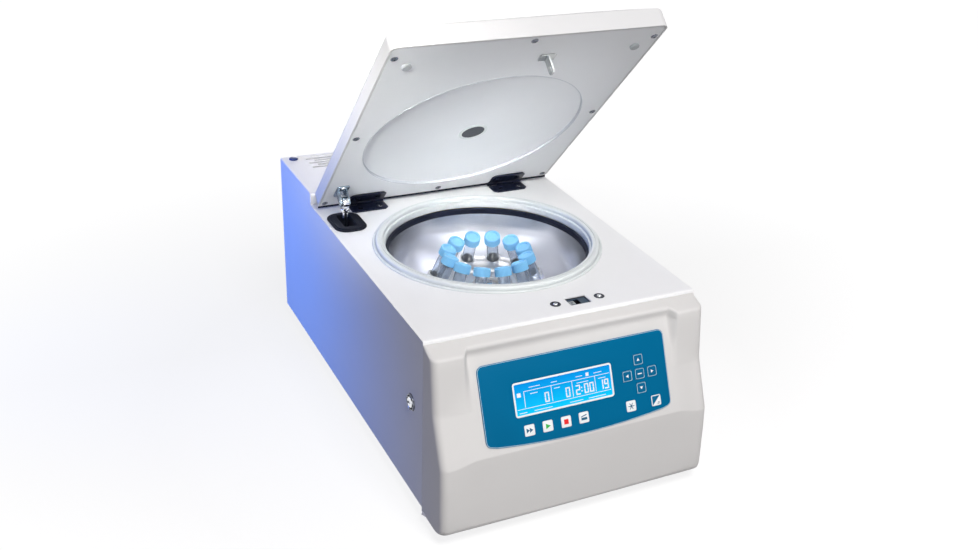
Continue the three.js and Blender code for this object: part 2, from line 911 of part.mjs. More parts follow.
function gasketRing() {
  const top = deckZ + gasket.beadHeight;
  const flangeRadius = openingRadius + gasket.flangeReach;
  const beadOuter = openingRadius + gasket.beadReach;
  const beadInner = beadOuter - gasket.beadWidth;
  const lipRadius = openingRadius - gasket.lipWidth;
  return revolve([
    [openingRadius - seat, deckZ + seat],
    [flangeRadius, deckZ + seat],
    [flangeRadius, deckZ + gasket.flangeHeight / 2],
    [flangeRadius - gasket.flangeHeight / 2, deckZ + gasket.flangeHeight],
    [beadOuter, deckZ + gasket.flangeHeight + seat],
    [beadOuter, top - gasket.beadRound],
    [beadOuter - gasket.beadRound, top],
    [beadInner + gasket.beadRound, top],
    [beadInner, top - gasket.beadRound],
    [lipRadius, deckZ + gasket.flangeHeight],
    [lipRadius, deckZ - gasket.skirtDepth],
    [openingRadius - seat, deckZ - gasket.skirtDepth],
    [openingRadius - seat, deckZ + seat],
  ], fine, 0, bowlY);
}

function bowl() {
  const inner = bowlRadius;
  const wall = chamber.bowlWall;
  const round = chamber.floorRound;
  const inside = [];
  const outside = [];
  for (let step = 0; step <= arcSteps; step += 1) {
    const turn = step / arcSteps * Math.PI / 2;
    const across = inner - round;
    inside.push([across + round * Math.sin(turn), bowlFloorZ + round - round * Math.cos(turn)]);
    outside.push([across + (round + wall) * Math.sin(turn),
      bowlFloorZ + round - (round + wall) * Math.cos(turn)]);
  }
  return revolve([
    [chamber.collarRadius - wall, bowlFloorZ - wall],
    ...outside,
    [inner + wall, bowlRimZ - wall],
    [inner + chamber.rimWidth, bowlRimZ - wall],
    [inner + chamber.rimWidth, bowlRimZ],
    [inner, bowlRimZ],
    ...inside.reverse(),
    [chamber.collarRadius, bowlFloorZ],
    [chamber.collarRadius, bowlFloorZ + chamber.collarHeight],
    [chamber.collarRadius - wall, bowlFloorZ + chamber.collarHeight],
    [chamber.collarRadius - wall, bowlFloorZ - wall],
  ], fine, 0, bowlY);
}

function insulatedDrum() {
  const shelf = bowlFloorZ - chamber.bowlWall - seat;
  const top = deckZ - sheet - seat;
  return revolve([
    [drumOuterRadius - drum.shellWall, panTopZ + seat],
    [drumOuterRadius, panTopZ + seat],
    [drumOuterRadius, top],
    [drumInnerRadius, top],
    [drumInnerRadius, shelf],
    [drum.motorOpening, shelf],
    [drum.motorOpening, shelf - drum.floorHeight],
    [drumOuterRadius - drum.shellWall, shelf - drum.floorHeight],
    [drumOuterRadius - drum.shellWall, panTopZ + seat],
  ], fine, 0, bowlY);
}

// One unbroken pipe wound round the bowl, its ends straight for one diameter
function evaporatorCoil() {
  const centres = coilCentres();
  console.log('evaporator_coil least gap to itself, mm:', leastCoilGap(centres).toFixed(2));
  return loft(centres.map(([centre, outward]) => pipeRing(centre, outward)));
}

function coilCentres() {
  const chordShare = Math.cos(Math.PI / coil.stepsPerTurn);
  const radius = (bowlRadius + chamber.bowlWall + coil.pipeRadius + seat) / chordShare;
  const lowZ = bowlFloorZ + chamber.floorRound;
  const at = (turn, alongRun) => {
    const outward = new THREE.Vector3(Math.cos(turn), Math.sin(turn), 0);
    const ahead = new THREE.Vector3(-Math.sin(turn), Math.cos(turn), 0);
    const centre = outward.clone().multiplyScalar(radius).addScaledVector(ahead, alongRun);
    centre.add(new THREE.Vector3(0, bowlY, lowZ + turn / (Math.PI * 2) * coil.pitch));
    return [centre, outward];
  };
  const centres = [at(0, -2 * coil.pipeRadius)];
  for (let step = 0; step <= coil.turns * coil.stepsPerTurn; step += 1) {
    centres.push(at(step / coil.stepsPerTurn * Math.PI * 2, 0));
  }
  centres.push(at(coil.turns * Math.PI * 2, 2 * coil.pipeRadius));
  return centres;
}

// Least distance between points at least half a turn apart, less one pipe
function leastCoilGap(centres) {
  let least = Infinity;
  for (let i = 0; i < centres.length; i += 1) {
    for (let j = i + coil.stepsPerTurn / 2; j < centres.length; j += 1) {
      least = Math.min(least, centres[i][0].distanceTo(centres[j][0]));
    }
  }
  return least - 2 * coil.pipeRadius;
}

function pipeRing(centre, outward) {
  const ring = [];
  for (let side = 0; side < coil.sides; side += 1) {
    const turn = side / coil.sides * Math.PI * 2;
    ring.push(centre.clone()
      .addScaledVector(outward, coil.pipeRadius * Math.cos(turn))
      .add(new THREE.Vector3(0, 0, coil.pipeRadius * Math.sin(turn))));
  }
  return ring;
}

// Drive

function motorHousing() {
  const low = panTopZ + seat + motor.legHeight;
  const top = motorTopZ;
  const body = revolve([
    [0, low], [motor.radius, low], [motor.radius, top - motor.flangeThickness],
    [motor.flangeRadius, top - motor.flangeThickness], [motor.flangeRadius, top],
    [motor.noseRadius, top], [motor.noseRadius, top + motor.nose],
    [shaft.radius + seat, top + motor.nose], [shaft.radius + seat, top + motor.nose - motor.boreDepth],
    [0, top + motor.nose - motor.boreDepth],
  ], medium);
  const legs = [];
  for (let leg = 0; leg < motor.legCount; leg += 1) {
    const turn = (leg / motor.legCount + 1 / 4) * Math.PI * 2;
    legs.push(column(motor.legRadius, panTopZ + seat, low + overrun, coarse,
      motor.legCircle * Math.cos(turn), motor.legCircle * Math.sin(turn)));
  }
  return join(body, ...legs);
}

const rotorBaseZ = bowlFloorZ + chamber.collarHeight + shaft.shoulderHeight;
const rotorTopZ = rotorMouthZ - rotor.plateDrop;

function driveShaft() {
  const shoulderZ = rotorBaseZ;
  const low = motorTopZ + motor.nose - motor.boreDepth + seat;
  const end = rotorTopZ - rotor.dishDrop - rotor.nutPocketDepth - seat;
  return revolve([
    [0, low], [shaft.radius, low], [shaft.radius, shoulderZ - shaft.shoulderHeight],
    [shaft.shoulderRadius, shoulderZ - shaft.shoulderHeight], [shaft.shoulderRadius, shoulderZ],
    [shaft.noseRadius, shoulderZ], [shaft.noseRadius, end - shaft.radius / 2],
    [shaft.radius, end], [0, end],
  ], medium);
}

// Rotor stations lean their mouths towards the axis
function stationMatrix(station) {
  const turn = THREE.MathUtils.degToRad(ring.firstStation - station * 360 / ring.stations);
  return new THREE.Matrix4().makeRotationZ(turn)
    .multiply(new THREE.Matrix4().makeTranslation(rotor.mouthCircle, 0, rotorMouthZ))
    .multiply(new THREE.Matrix4().makeRotationY(-tilt));
}

function atStation(form, station) {
  const geometry = geometryOf(form);
  geometry.applyMatrix4(stationMatrix(station));
  return solid(geometry);
}

function rotorBody() {
  const base = rotorBaseZ + seat;
  const top = rotorTopZ;
  const skirtBottom = top - skirtDepth;
  const dishZ = top - rotor.dishDrop;
  const body = revolve([
    [shaft.noseRadius + seat, base],
    [rotor.hubRadius, base],
    [rotor.hubRadius, base + rotor.undercut],
    [rotor.webRadius, base + rotor.undercut],
    [skirtRadius - rotor.webRun, skirtBottom],
    [skirtRadius - rotor.rimRound / 2, skirtBottom],
    [skirtRadius, skirtBottom + rotor.rimRound],
    [rimRadius + rotor.rimRound / 2, top - rotor.rimRound],
    [rimRadius - rotor.rimRound / 2, top],
    [rotor.dishRadius, top],
    [rotor.dishRadius - rotor.dishDrop, dishZ],
    [rotor.nutPocketRadius, dishZ],
    [rotor.nutPocketRadius, dishZ - rotor.nutPocketDepth],
    [shaft.noseRadius + seat, dishZ - rotor.nutPocketDepth],
    [shaft.noseRadius + seat, base],
  ], fine);
  const bushFloor = -rotor.plateDrop - rotor.bushHeight;
  const bush = column(rotor.bushRadius, bushFloor, 0, coarse);
  const pocket = pocketForm();
  let whole = body;
  for (let station = 0; station < ring.stations; station += 1) {
    whole = whole.add(atStation(bush, station));
  }
  for (let station = 0; station < ring.stations; station += 1) {
    whole = whole.subtract(atStation(pocket, station));
  }
  return whole;
}

// Pocket that follows the tube with a running gap
function pocketForm() {
  const bore = tube.radius + seat;
  const tip = tube.capAbove - tube.capHeight - tube.length - seat;
  return revolve([
    [0, tip], [tube.tipRadius + seat, tip], [bore, tip + tube.coneLength], [bore, overrun], [0, overrun],
  ], coarse);
}

function rotorNut() {
  const low = rotorTopZ - rotor.dishDrop - rotor.nutPocketDepth + seat;
  const top = low + nut.flangeHeight + nut.headHeight;
  const turned = revolve([
    [0, low], [nut.flangeRadius, low], [nut.flangeRadius, low + nut.flangeHeight],
    [nut.headRadius, low + nut.flangeHeight], [nut.headRadius, top], [0, top],
  ], medium);
  return cut(turned, column(nut.socketRadius, top - nut.socketDepth, top + overrun, 6));
}

function cappedTube() {
  const neck = tube.capAbove - tube.capHeight;
  const tip = neck - tube.length;
  return revolve([
    [0, tip], [tube.tipRadius, tip], [tube.radius, tip + tube.coneLength], [tube.radius, neck],
    [tube.capRadius, neck], [tube.capRadius, tube.capAbove - tube.capChamfer],
    [tube.capRadius - tube.capChamfer, tube.capAbove], [0, tube.capAbove],
  ], coarse);
}

// Lid, modelled shut about its hinge line: y to the rear, z up from its underside

function lidPlan(inset) {
  return roundedRectangle(inset - lidWidth / 2, lidWidth / 2 - inset, inset - lidLength, -inset,
    lid.frontCorner - inset, lid.rearCorner - inset);
}

// Front view of the lid with its crown and rounded shoulders
function lidFrontLine() {
  const half = lidWidth / 2;
  const shoulder = lid.height - lid.sideRound;
  const crownHalf = half - lid.sideRound;
  const points = [[-half, -overrun], [half, -overrun]];
  for (let step = 0; step <= arcSteps; step += 1) {
    const turn = step / arcSteps * Math.PI / 2;
    points.push([crownHalf + lid.sideRound * Math.cos(turn), shoulder + lid.sideRound * Math.sin(turn)]);
  }
  const crownSteps = medium / 2;
  for (let step = 1; step < crownSteps; step += 1) {
    const share = 1 - 2 * step / crownSteps;
    points.push([crownHalf * share, lid.height + lid.crown * (1 - share ** 2)]);
  }
  for (let step = arcSteps; step >= 0; step -= 1) {
    const turn = step / arcSteps * Math.PI / 2;
    points.push([-crownHalf - lid.sideRound * Math.cos(turn), shoulder + lid.sideRound * Math.sin(turn)]);
  }
  return outline(points);
}

// Side view of the lid with rounded front and rear shoulders
function lidSideLine() {
  const top = lid.height + lid.crown;
  return roundedSides(-lidLength, 0, -overrun, top, lid.frontRound, lid.rearRound);
}

// Upright outline whose two upper corners have their own radii
function roundedSides(a0, a1, b0, b1, firstRadius, secondRadius) {
  const shape = new THREE.Shape();
  shape.moveTo(a0, b0);
  shape.lineTo(a1, b0);
  shape.lineTo(a1, b1 - secondRadius);
  shape.absarc(a1 - secondRadius, b1 - secondRadius, secondRadius, 0, Math.PI / 2);
  shape.lineTo(a0 + firstRadius, b1);
  shape.absarc(a0 + firstRadius, b1 - firstRadius, firstRadius, Math.PI / 2, Math.PI);
  return shape;
}

// Space that the hinge knuckles need in the lid's rear edge
function hingePockets() {
  return [-1, 1].map((hand) => block(
    hand * hingeX - hinge.width / 2 - hinge.knuckleGap,
    hand * hingeX + hinge.width / 2 + hinge.knuckleGap,
    -hinge.pocketDepth, overrun, -overrun, hinge.pocketHeight));
}

function lidCover() {
  const outer = common(
    prismZ(lidPlan(0), 0, lid.height + lid.crown),
    prismY(lidFrontLine(), -lidLength - overrun, overrun),
    prismX(lidSideLine(), -lidWidth, lidWidth));
  const hollow = prismZ(lidPlan(lid.wall), -overrun, lid.height - lid.wall);
  const portHole = column(port.glassRadius + seat, -overrun, lid.height + lid.crown + overrun,
    medium, 0, -dishCentre);
  return cut(outer, hollow, portHole, ...hingePockets());
}

function lidLiner() {
  const plate = cut(
    prismZ(lidPlan(lid.wall + lid.linerPlay), 0, lid.linerThickness),
    column(dishRadius + lid.dishWall / 2, -overrun, overrun, fine, 0, -dishCentre));
  const ceiling = lid.dishDepth + lid.dishWall;
  const dish = revolve([
    [port.glassRadius + seat, lid.dishDepth],
    [dishRadius, lid.dishDepth],
    [dishRadius, 0],
    [dishRadius + lid.dishWall, 0],
    [dishRadius + lid.dishWall, ceiling],
    [port.glassRadius + seat, ceiling],
    [port.glassRadius + seat, lid.dishDepth],
  ], fine, 0, -dishCentre);
  return cut(join(plate, dish), ...hingePockets());
}

function sightGlass() {
  const low = lid.dishDepth - seat;
  return revolve([
    [0, low - port.flangeHeight], [port.flangeRadius, low - port.flangeHeight], [port.flangeRadius, low],
    [port.glassRadius, low], [port.glassRadius, lid.height + lid.crown + port.rise],
    [0, lid.height + lid.crown + port.rise],
  ], medium, 0, -dishCentre);
}

function lidHook() {
  const y = lockY - hingeY;
  const under = -seat;
  const foot = block(lock.centreX - lock.hookFootLength / 2, lock.centreX + lock.hookFootLength / 2,
    y - lock.hookWidth / 2, y + lock.hookWidth / 2, under - lock.hookFootThickness, under);
  const blade = prismX(outline([
    [y - lock.hookWidth / 2, under], [y - lock.hookWidth / 2, -lock.hookDrop + lock.hookThickness],
    [y - lock.hookWidth / 3, -lock.hookDrop], [y + lock.hookWidth / 3, -lock.hookDrop],
    [y + lock.hookWidth / 2, -lock.hookDrop + lock.hookThickness], [y + lock.hookWidth / 2, under],
  ]), lock.centreX - lock.hookThickness / 2, lock.centreX + lock.hookThickness / 2);
  const windowLow = lock.hookToe - lock.hookDrop;
  const window = block(lock.centreX - overrun, lock.centreX + overrun,
    y - lock.hookWindow / 2, y + lock.hookWindow / 2, windowLow, windowLow + lock.hookWindow);
  return cut(join(foot, blade), window);
}

function lidLeaf(hand) {
  const centre = hand * hingeX;
  const half = hinge.width / 2;
  const middle = hinge.width * hinge.knuckleShare / 2;
  const play = hinge.knuckleRadius + hinge.knuckleGap;
  const under = -seat;
  const leaf = block(centre - half, centre + half, -hinge.lidLeafReach, 0,
    under - hinge.leafThickness, under);
  const barrels = [-1, 1].map((end) => barX(hinge.knuckleRadius,
    Math.min(centre + end * half, centre + end * (middle + hinge.knuckleGap)),
    Math.max(centre + end * half, centre + end * (middle + hinge.knuckleGap)), 0, 0, coarse));
  const gap = block(centre - middle - hinge.knuckleGap, centre + middle + hinge.knuckleGap,
    -play, overrun, -overrun, overrun);
  const bore = barX(hinge.pinRadius + seat, centre - hinge.width, centre + hinge.width, 0, 0, coarse);
  return cut(join(cut(leaf, gap), ...barrels), bore);
}

// Deck leaf in the row frame, with the pin in its middle knuckle
function deckLeaf(hand) {
  const centre = hand * hingeX;
  const half = hinge.width / 2;
  const middle = hinge.width * hinge.knuckleShare / 2;
  const play = hinge.knuckleRadius + hinge.knuckleGap;
  const leaf = block(centre - half, centre + half, hingeY - hinge.deckLeafReach, hingeY,
    deckZ + seat, deckZ + seat + hinge.leafThickness);
  const gaps = [-1, 1].map((end) => block(
    Math.min(centre + end * hinge.width, centre + end * middle),
    Math.max(centre + end * hinge.width, centre + end * middle),
    hingeY - play, hingeY + overrun, deckZ - overrun, deckZ + overrun));
  const barrel = barX(hinge.knuckleRadius, centre - middle, centre + middle, hingeY, hingeZ, coarse);
  const pin = barX(hinge.pinRadius, centre - half, centre + half, hingeY, hingeZ, coarse);
  return join(cut(leaf, ...gaps), barrel, pin);
}

// Gas strut

function strutBracket() {
  const y = -strut.pinReach;
  const under = -seat;
  const foot = block(strutX - strut.footWidth / 2, strutX + strut.footWidth / 2,
    y - strut.footLength / 2, y + strut.footLength / 2, under - strut.footThickness, under);
  const gap = strut.eyeThickness / 2 + seat;
  const cheek = new THREE.Shape();
  cheek.moveTo(y - strut.cheekRadius, under);
  cheek.lineTo(y - strut.cheekRadius, -strut.pinDrop);
  cheek.absarc(y, -strut.pinDrop, strut.cheekRadius, Math.PI, Math.PI * 2);
  cheek.lineTo(y + strut.cheekRadius, under);
  const cheeks = [-1, 1].map((hand) => {
    const inner = strutX + hand * gap;
    const outer = strutX + hand * (gap + strut.cheekThickness);
    return prismX(cheek, Math.min(inner, outer), Math.max(inner, outer));
  });
  const pin = barX(strut.pinRadius, strutX - gap - strut.cheekThickness,
    strutX + gap + strut.cheekThickness, y, -strut.pinDrop, coarse);
  return join(foot, ...cheeks, pin);
}

// Strut pin at a lid angle measured from shut, in the row frame
function strutPin(degrees) {
  const turn = THREE.MathUtils.degToRad(degrees);
  return [
    hingeY - strut.pinReach * Math.cos(turn) - strut.pinDrop * Math.sin(turn),
    hingeZ + strut.pinReach * Math.sin(turn) - strut.pinDrop * Math.cos(turn),
  ];
}

// Strut axis when the lid stands open: its slope and the length from anchor to eye
function strutAtRest() {
  const [pinY, pinZ] = strutPin(lidOpenAngle);
  const eyeY = pinY - strut.eyeSlack;
  return {
    lean: Math.atan2(eyeY - anchorY, pinZ - anchorZ),
    length: Math.hypot(eyeY - anchorY, pinZ - anchorZ),
  };
}

function strutCylinder() {
  const half = strut.eyeThickness / 2;
  const top = strut.cylinderLength;
  const boreFloor = top - strut.rodInside - strut.travel - strut.boreRelief;
  const eye = join(
    barX(strut.earRadius - seat, -half, half, 0, 0, medium),
    block(-half, half, -strut.boltRadius, strut.boltRadius, 0, strut.earRadius + strut.eyeNeck));
  const barrel = revolve([
    [0, strut.earRadius + sheet], [strut.cylinderRadius, strut.earRadius + sheet],
    [strut.cylinderRadius, top],
    [strut.boreRadius, top], [strut.boreRadius, boreFloor], [0, boreFloor],
  ], medium);
  return cut(join(eye, barrel), barX(strut.pinRadius + seat, -overrun, overrun, 0, 0, coarse));
}

function strutRod(length) {
  const half = strut.eyeThickness / 2;
  const holeRadius = strut.pinRadius + strut.eyePlay;
  const rodTop = length - strut.cheekRadius - strut.eyeSlack - seat;
  const rod = column(strut.rodRadius, strut.cylinderLength - strut.rodInside, rodTop, coarse);
  const collar = column(strut.eyeRadius, rodTop - strut.eyeNeck, rodTop, medium);
  const neck = block(-half, half, -strut.eyeRadius, strut.eyeRadius, rodTop - strut.eyeNeck / 2, length);
  const eye = prismX(obroundAcross(0, length, strut.eyeRadius, strut.eyeSlack), -half, half, medium / 2);
  const hole = prismX(obroundAcross(0, length, holeRadius, strut.eyeSlack), -overrun, overrun, medium / 2);
  return cut(join(rod, collar, neck, eye), hole);
}

// Slot with round ends along its first axis
function obroundAcross(centreA, centreB, radius, halfRun) {
  const shape = new THREE.Shape();
  shape.absarc(centreA + halfRun, centreB, radius, -Math.PI / 2, Math.PI / 2);
  shape.absarc(centreA - halfRun, centreB, radius, Math.PI / 2, Math.PI * 3 / 2);
  return shape;
}

function strutBoot() {
  const y = hingeY - strut.pinReach - boot.centreOffset;
  const plan = (width, length, round) => roundedRectangle(strutX - width / 2, strutX + width / 2,
    y - length / 2, y + length / 2, round);
  const low = deckZ + seat;
  const base = prismZ(plan(boot.width, boot.length, boot.round), low, low + boot.height / 2);
  const crestPlan = plan(boot.width - boot.height, boot.length - boot.height, boot.round - boot.height / 2);
  const crest = prismZ(crestPlan, low + boot.height / 2 - seat, low + boot.height);
  const slot = block(strutX - boot.slotWidth / 2, strutX + boot.slotWidth / 2,
    y - boot.slotLength / 2, y + boot.slotLength / 2, deckZ - overrun, deckZ + overrun);
  return cut(join(base, crest), slot);
}

// Lid lock

function lockHousing() {
  const wall = lock.housingWall;
  const top = deckZ - sheet - seat;
  const left = lock.centreX - lock.slotWidth / 2 - wall;
  const pocketRight = lock.centreX + lock.slotWidth / 2;
  const right = pocketRight + lock.boltLength + 2 * wall;
  const halfDepth = lock.slotLength / 2 + wall;
  const body = block(left, right, lockY - halfDepth, lockY + halfDepth, top - lock.housingDepth, top);
  const pocket = block(lock.centreX - lock.slotWidth / 2, pocketRight,
    lockY - lock.slotLength / 2, lockY + lock.slotLength / 2,
    top - lock.housingDepth + wall, top + overrun);
  const half = lock.boltSize / 2 + seat;
  const channel = block(lock.centreX, right - wall, lockY - half, lockY + half, boltZ - half, boltZ + half);
  return cut(body, pocket, channel);
}

function lockBolt() {
  const tip = lock.centreX + lock.slotWidth / 2 + seat;
  const half = lock.boltSize / 2;
  const nose = outline([
    [tip, lockY - half / 2], [tip + half, lockY - half], [tip + lock.boltLength, lockY - half],
    [tip + lock.boltLength, lockY + half], [tip + half, lockY + half], [tip, lockY + half / 2],
  ]);
  return prismZ(nose, boltZ - half, boltZ + half);
}

// Cooling and power

function compressorPot() {
  const x = compressorX;
  const y = compressorY;
  const low = panTopZ + seat + compressor.legHeight;
  const mid = low + compressor.height / 2;
  const top = low + compressor.height;
  const dome = [];
  for (let step = 0; step <= arcSteps; step += 1) {
    const turn = step / arcSteps * Math.PI / 2;
    dome.push([compressor.radius * Math.cos(turn) ** compressor.domeShare,
      top - compressor.dome + compressor.dome * Math.sin(turn)]);
  }
  const pot = revolve([
    [0, low], [compressor.radius - compressor.dome / 2, low],
    [compressor.radius, low + compressor.dome / 2],
    [compressor.radius, mid], [compressor.radius + compressor.seamWidth, mid],
    [compressor.radius + compressor.seamWidth, mid + compressor.seamHeight],
    [compressor.radius, mid + compressor.seamHeight], ...dome.slice(0, -1), [0, top],
  ], medium, x, y);
  const legs = [];
  for (let leg = 0; leg < compressor.legCount; leg += 1) {
    const turn = leg / compressor.legCount * Math.PI * 2;
    legs.push(column(compressor.legRadius, panTopZ + seat, low + compressor.dome, coarse,
      x + (compressor.legCircle - compressor.legRadius) * Math.cos(turn),
      y + (compressor.legCircle - compressor.legRadius) * Math.sin(turn)));
  }
  const stub = column(compressor.stubRadius, top - compressor.dome, top + compressor.stubHeight,
    coarse, x, y);
  return join(pot, ...legs, stub);
}

// Finned block with the spider and axle that carry the fan
function condenserBlock() {
  const y1 = condenserRearY;
  const y0 = y1 - condenser.depth;
  const left = rearPanel.grilleCentreX - condenser.width / 2;
  const right = left + condenser.width;
  const low = panTopZ + seat;
  const pitch = condenser.width / condenser.fins;
  const finLow = low + overrun / 2;
  const finTop = low + condenserHeight - overrun / 2;
  const grooves = [];
  for (let fin = 0; fin < condenser.fins; fin += 1) {
    const x = left + (fin + 1 / 2) * pitch;
    for (const y of [y0, y1]) {
      grooves.push(block(x - condenser.finGap / 2, x + condenser.finGap / 2,
        y - condenser.finDepth, y + condenser.finDepth, finLow, finTop));
    }
  }
  const core = cut(block(left, right, y0, y1, low, low + condenserHeight), ...grooves);
  const z = grilleZ;
  const arm = block(left, right, y1 - condenser.armDepth, y1 + condenser.armDepth,
    z - condenser.armWidth / 2, z + condenser.armWidth / 2);
  const stub = barY(condenser.stubRadius, y1 - condenser.armDepth, y1 + condenser.stubDepth,
    rearPanel.grilleCentreX, z, medium);
  const axle = barY(condenser.axleRadius, y1, y1 + condenser.stubDepth + condenser.axleLength,
    rearPanel.grilleCentreX, z, coarse);
  return join(core, arm, stub, axle);
}

function fanRotor() {
  const back = condenserRearY + condenser.stubDepth + seat;
  const z = grilleZ;
  const hub = barY(fan.hubRadius, back, back + fan.hubDepth, 0, 0, medium);
  let whole = hub;
  for (let blade = 0; blade < fan.blades; blade += 1) {
    const vane = new THREE.BoxGeometry(fanRadius - fan.hubRadius / 2, fan.bladeThickness, fan.bladeChord,
      3, 1, 1);
    vane.translate((fanRadius + fan.hubRadius / 2) / 2, 0, 0);
    vane.rotateX(THREE.MathUtils.degToRad(fan.bladeTwist));
    vane.translate(0, back + fan.hubDepth / 2, 0);
    vane.rotateY(blade / fan.blades * Math.PI * 2);
    whole = whole.add(solid(vane));
  }
  const swept = common(whole, barY(fanRadius, back, back + fan.hubDepth, 0, 0, fine));
  const bored = cut(swept, barY(fan.boreRadius, back - overrun, back + overrun, 0, 0, coarse));
  const geometry = geometryOf(bored);
  geometry.translate(rearPanel.grilleCentreX, 0, z);
  return solid(geometry);
}

function powerInlet() {
  const back = rearPanelY;
  const face = back + seat + inlet.flangeThickness;
  const x = inletX;
  const z = inlet.centreZ;
  const flange = prismY(roundedRectangle(x - inlet.flangeWidth / 2, x + inlet.flangeWidth / 2,
    z - inlet.flangeHeight / 2, z + inlet.flangeHeight / 2, inlet.bodyMargin), back + seat, face);
  const body = block(
    x - inlet.flangeWidth / 2 + inlet.bodyMargin, x + inlet.flangeWidth / 2 - inlet.bodyMargin,
    back - inlet.bodyDepth, back + sheet,
    z - inlet.flangeHeight / 2 + inlet.bodyMargin, z + inlet.flangeHeight / 2 - inlet.bodyMargin);
  const socket = block(x + inlet.socketX - inlet.socketWidth / 2, x + inlet.socketX + inlet.socketWidth / 2,
    face - inlet.socketDepth, face + overrun,
    z - inlet.socketHeight / 2, z + inlet.socketHeight / 2);
  const well = block(
    x + inlet.switchX - inlet.switchWidth / 2 - seat, x + inlet.switchX + inlet.switchWidth / 2 + seat,
    face - inlet.socketDepth, face + overrun,
    z - inlet.switchHeight / 2 - seat, z + inlet.switchHeight / 2 + seat);
  const pins = [-1, 0, 1].map((step) => {
    const px = x + inlet.socketX + step * inlet.pinPitch;
    const pz = z + (step === 0 ? inlet.pinOffset : -inlet.pinOffset);
    return block(px - inlet.pinWidth / 2, px + inlet.pinWidth / 2,
      face - inlet.socketDepth - sheet, face - inlet.socketDepth + inlet.pinLength,
      pz - inlet.pinHeight / 2, pz + inlet.pinHeight / 2);
  });
  return join(cut(join(flange, body), socket, well), ...pins);
}

// Rocker tilted to its off position about a pivot across its middle
function powerSwitch() {
  const half = inlet.switchHeight / 2 - inlet.rockerProud / 2;
  const tilt = Math.tan(THREE.MathUtils.degToRad(inlet.rockerTilt));
  const rocker = outline([
    [-inlet.pivotDepth, -half / 2], [inlet.pivotDepth - sheet, -half],
    [inlet.pivotDepth + half * tilt, -half], [inlet.pivotDepth, 0],
    [inlet.pivotDepth + half * tilt, half], [inlet.pivotDepth - sheet, half], [-inlet.pivotDepth, half / 2],
  ]);
  const form = prismX(rocker, inlet.switchX - inlet.switchWidth / 2, inlet.switchX + inlet.switchWidth / 2);
  const geometry = geometryOf(form);
  geometry.rotateX(THREE.MathUtils.degToRad(inlet.rockerTilt));
  return solid(geometry);
}

// Assembly

const centrifuge = new THREE.Group();

const cabinet = new THREE.Group();
cabinet.add(
  piece('cabinet_shell', cabinetShell(), whitePowder),
  piece('base_pan', basePan(), zincSteel),
  piece('rear_panel', rearPlate(), whitePowder),
  piece('front_fascia', frontFascia(), warmMoulding),
  piece('bowl', bowl(), stainless),
  piece('bowl_gasket', gasketRing(), sealGrey),
  piece('insulated_drum', insulatedDrum(), foamYellow),
  piece('evaporator_coil', evaporatorCoil(), copper),
  piece('strut_boot', strutBoot(), blackRubber),
  piece('lock_housing', lockHousing(), zincSteel),
  piece('lock_bolt', lockBolt(), chrome),
  piece('compressor', compressorPot(), blackCoat),
  piece('condenser', condenserBlock(), aluminium),
  piece('fan_rotor', fanRotor(), blackPlastic),
  piece('power_inlet', powerInlet(), blackPlastic),
);
const footPlaces = {
  foot_front_left: [foot.insetX - halfWidth, cabinetFrontY + foot.frontInset],
  foot_front_right: [halfWidth - foot.insetX, cabinetFrontY + foot.frontInset],
  foot_rear_left: [foot.insetX - halfWidth, cabinetRearY - foot.rearInset],
  foot_rear_right: [halfWidth - foot.insetX, cabinetRearY - foot.rearInset],
};
for (const [name, [x, y]] of Object.entries(footPlaces)) {
  cabinet.add(piece(name, rubberFoot(x, y), blackRubber));
}
for (const [side, hand] of [['left', -1], ['right', 1]]) {
  cabinet.add(piece(`hinge_deck_leaf_${side}`, deckLeaf(hand), blackCoat));
}
const rocker = piece('power_switch', powerSwitch(), blackPlastic);
rocker.position.set(inletX, rearPanelY + inlet.flangeThickness - inlet.pivotDepth, inlet.centreZ);
cabinet.add(rocker);
centrifuge.add(cabinet);

// Control panel, laid on the sloping bed of the moulding
const controls = new THREE.Group();
controls.add(
  piece('control_overlay', controlOverlay(), overlayTeal),
  piece('display_module', displayModule(), displayBlue),
);
for (const [name, place] of Object.entries(keyPlaces)) {
  const printed = place[1] === actionRow;
  controls.add(piece(name, keyCap(place), printed ? keyWhite : keyTeal));
}
controls.applyMatrix4(bedMatrix());
centrifuge.add(controls);

// Drive and rotor, about the chamber's axis
const drive = new THREE.Group();
drive.position.set(0, bowlY, 0);
drive.add(
  piece('motor_housing', motorHousing(), zincSteel),
  piece('drive_shaft', driveShaft(), chrome),
  piece('rotor_body', rotorBody(), aluminium),
  piece('rotor_nut', rotorNut(), chrome),
);
for (let station = 0; station < ring.stations; station += 1) {
  const filled = piece(`tube_${String(station + 1).padStart(2, '0')}`, cappedTube(), tubeBlue);
  filled.applyMatrix4(stationMatrix(station));
  drive.add(filled);
}
centrifuge.add(drive);

// Lid, swung open about its hinge line
const lidGroup = new THREE.Group();
lidGroup.position.set(0, hingeY, hingeZ);
lidGroup.rotation.x = -THREE.MathUtils.degToRad(lidOpenAngle);
lidGroup.add(
  piece('lid_cover', lidCover(), whitePowder),
  piece('lid_liner', lidLiner(), linerGrey),
  piece('sight_glass', sightGlass(), smokedGlass),
  piece('lid_hook', lidHook(), chrome),
  piece('strut_bracket', strutBracket(), zincSteel),
  piece('hinge_lid_leaf_left', lidLeaf(-1), blackCoat),
  piece('hinge_lid_leaf_right', lidLeaf(1), blackCoat),
);
centrifuge.add(lidGroup);

// Gas strut, from its anchor on the base pan up to the lid bracket
const rest = strutAtRest();
const strutGroup = new THREE.Group();
strutGroup.position.set(strutX, anchorY, anchorZ);
strutGroup.rotation.x = -rest.lean;
strutGroup.add(
  piece('strut_cylinder', strutCylinder(), blackCoat),
  piece('strut_rod', strutRod(rest.length), chrome),
);
centrifuge.add(strutGroup);

export default centrifuge;
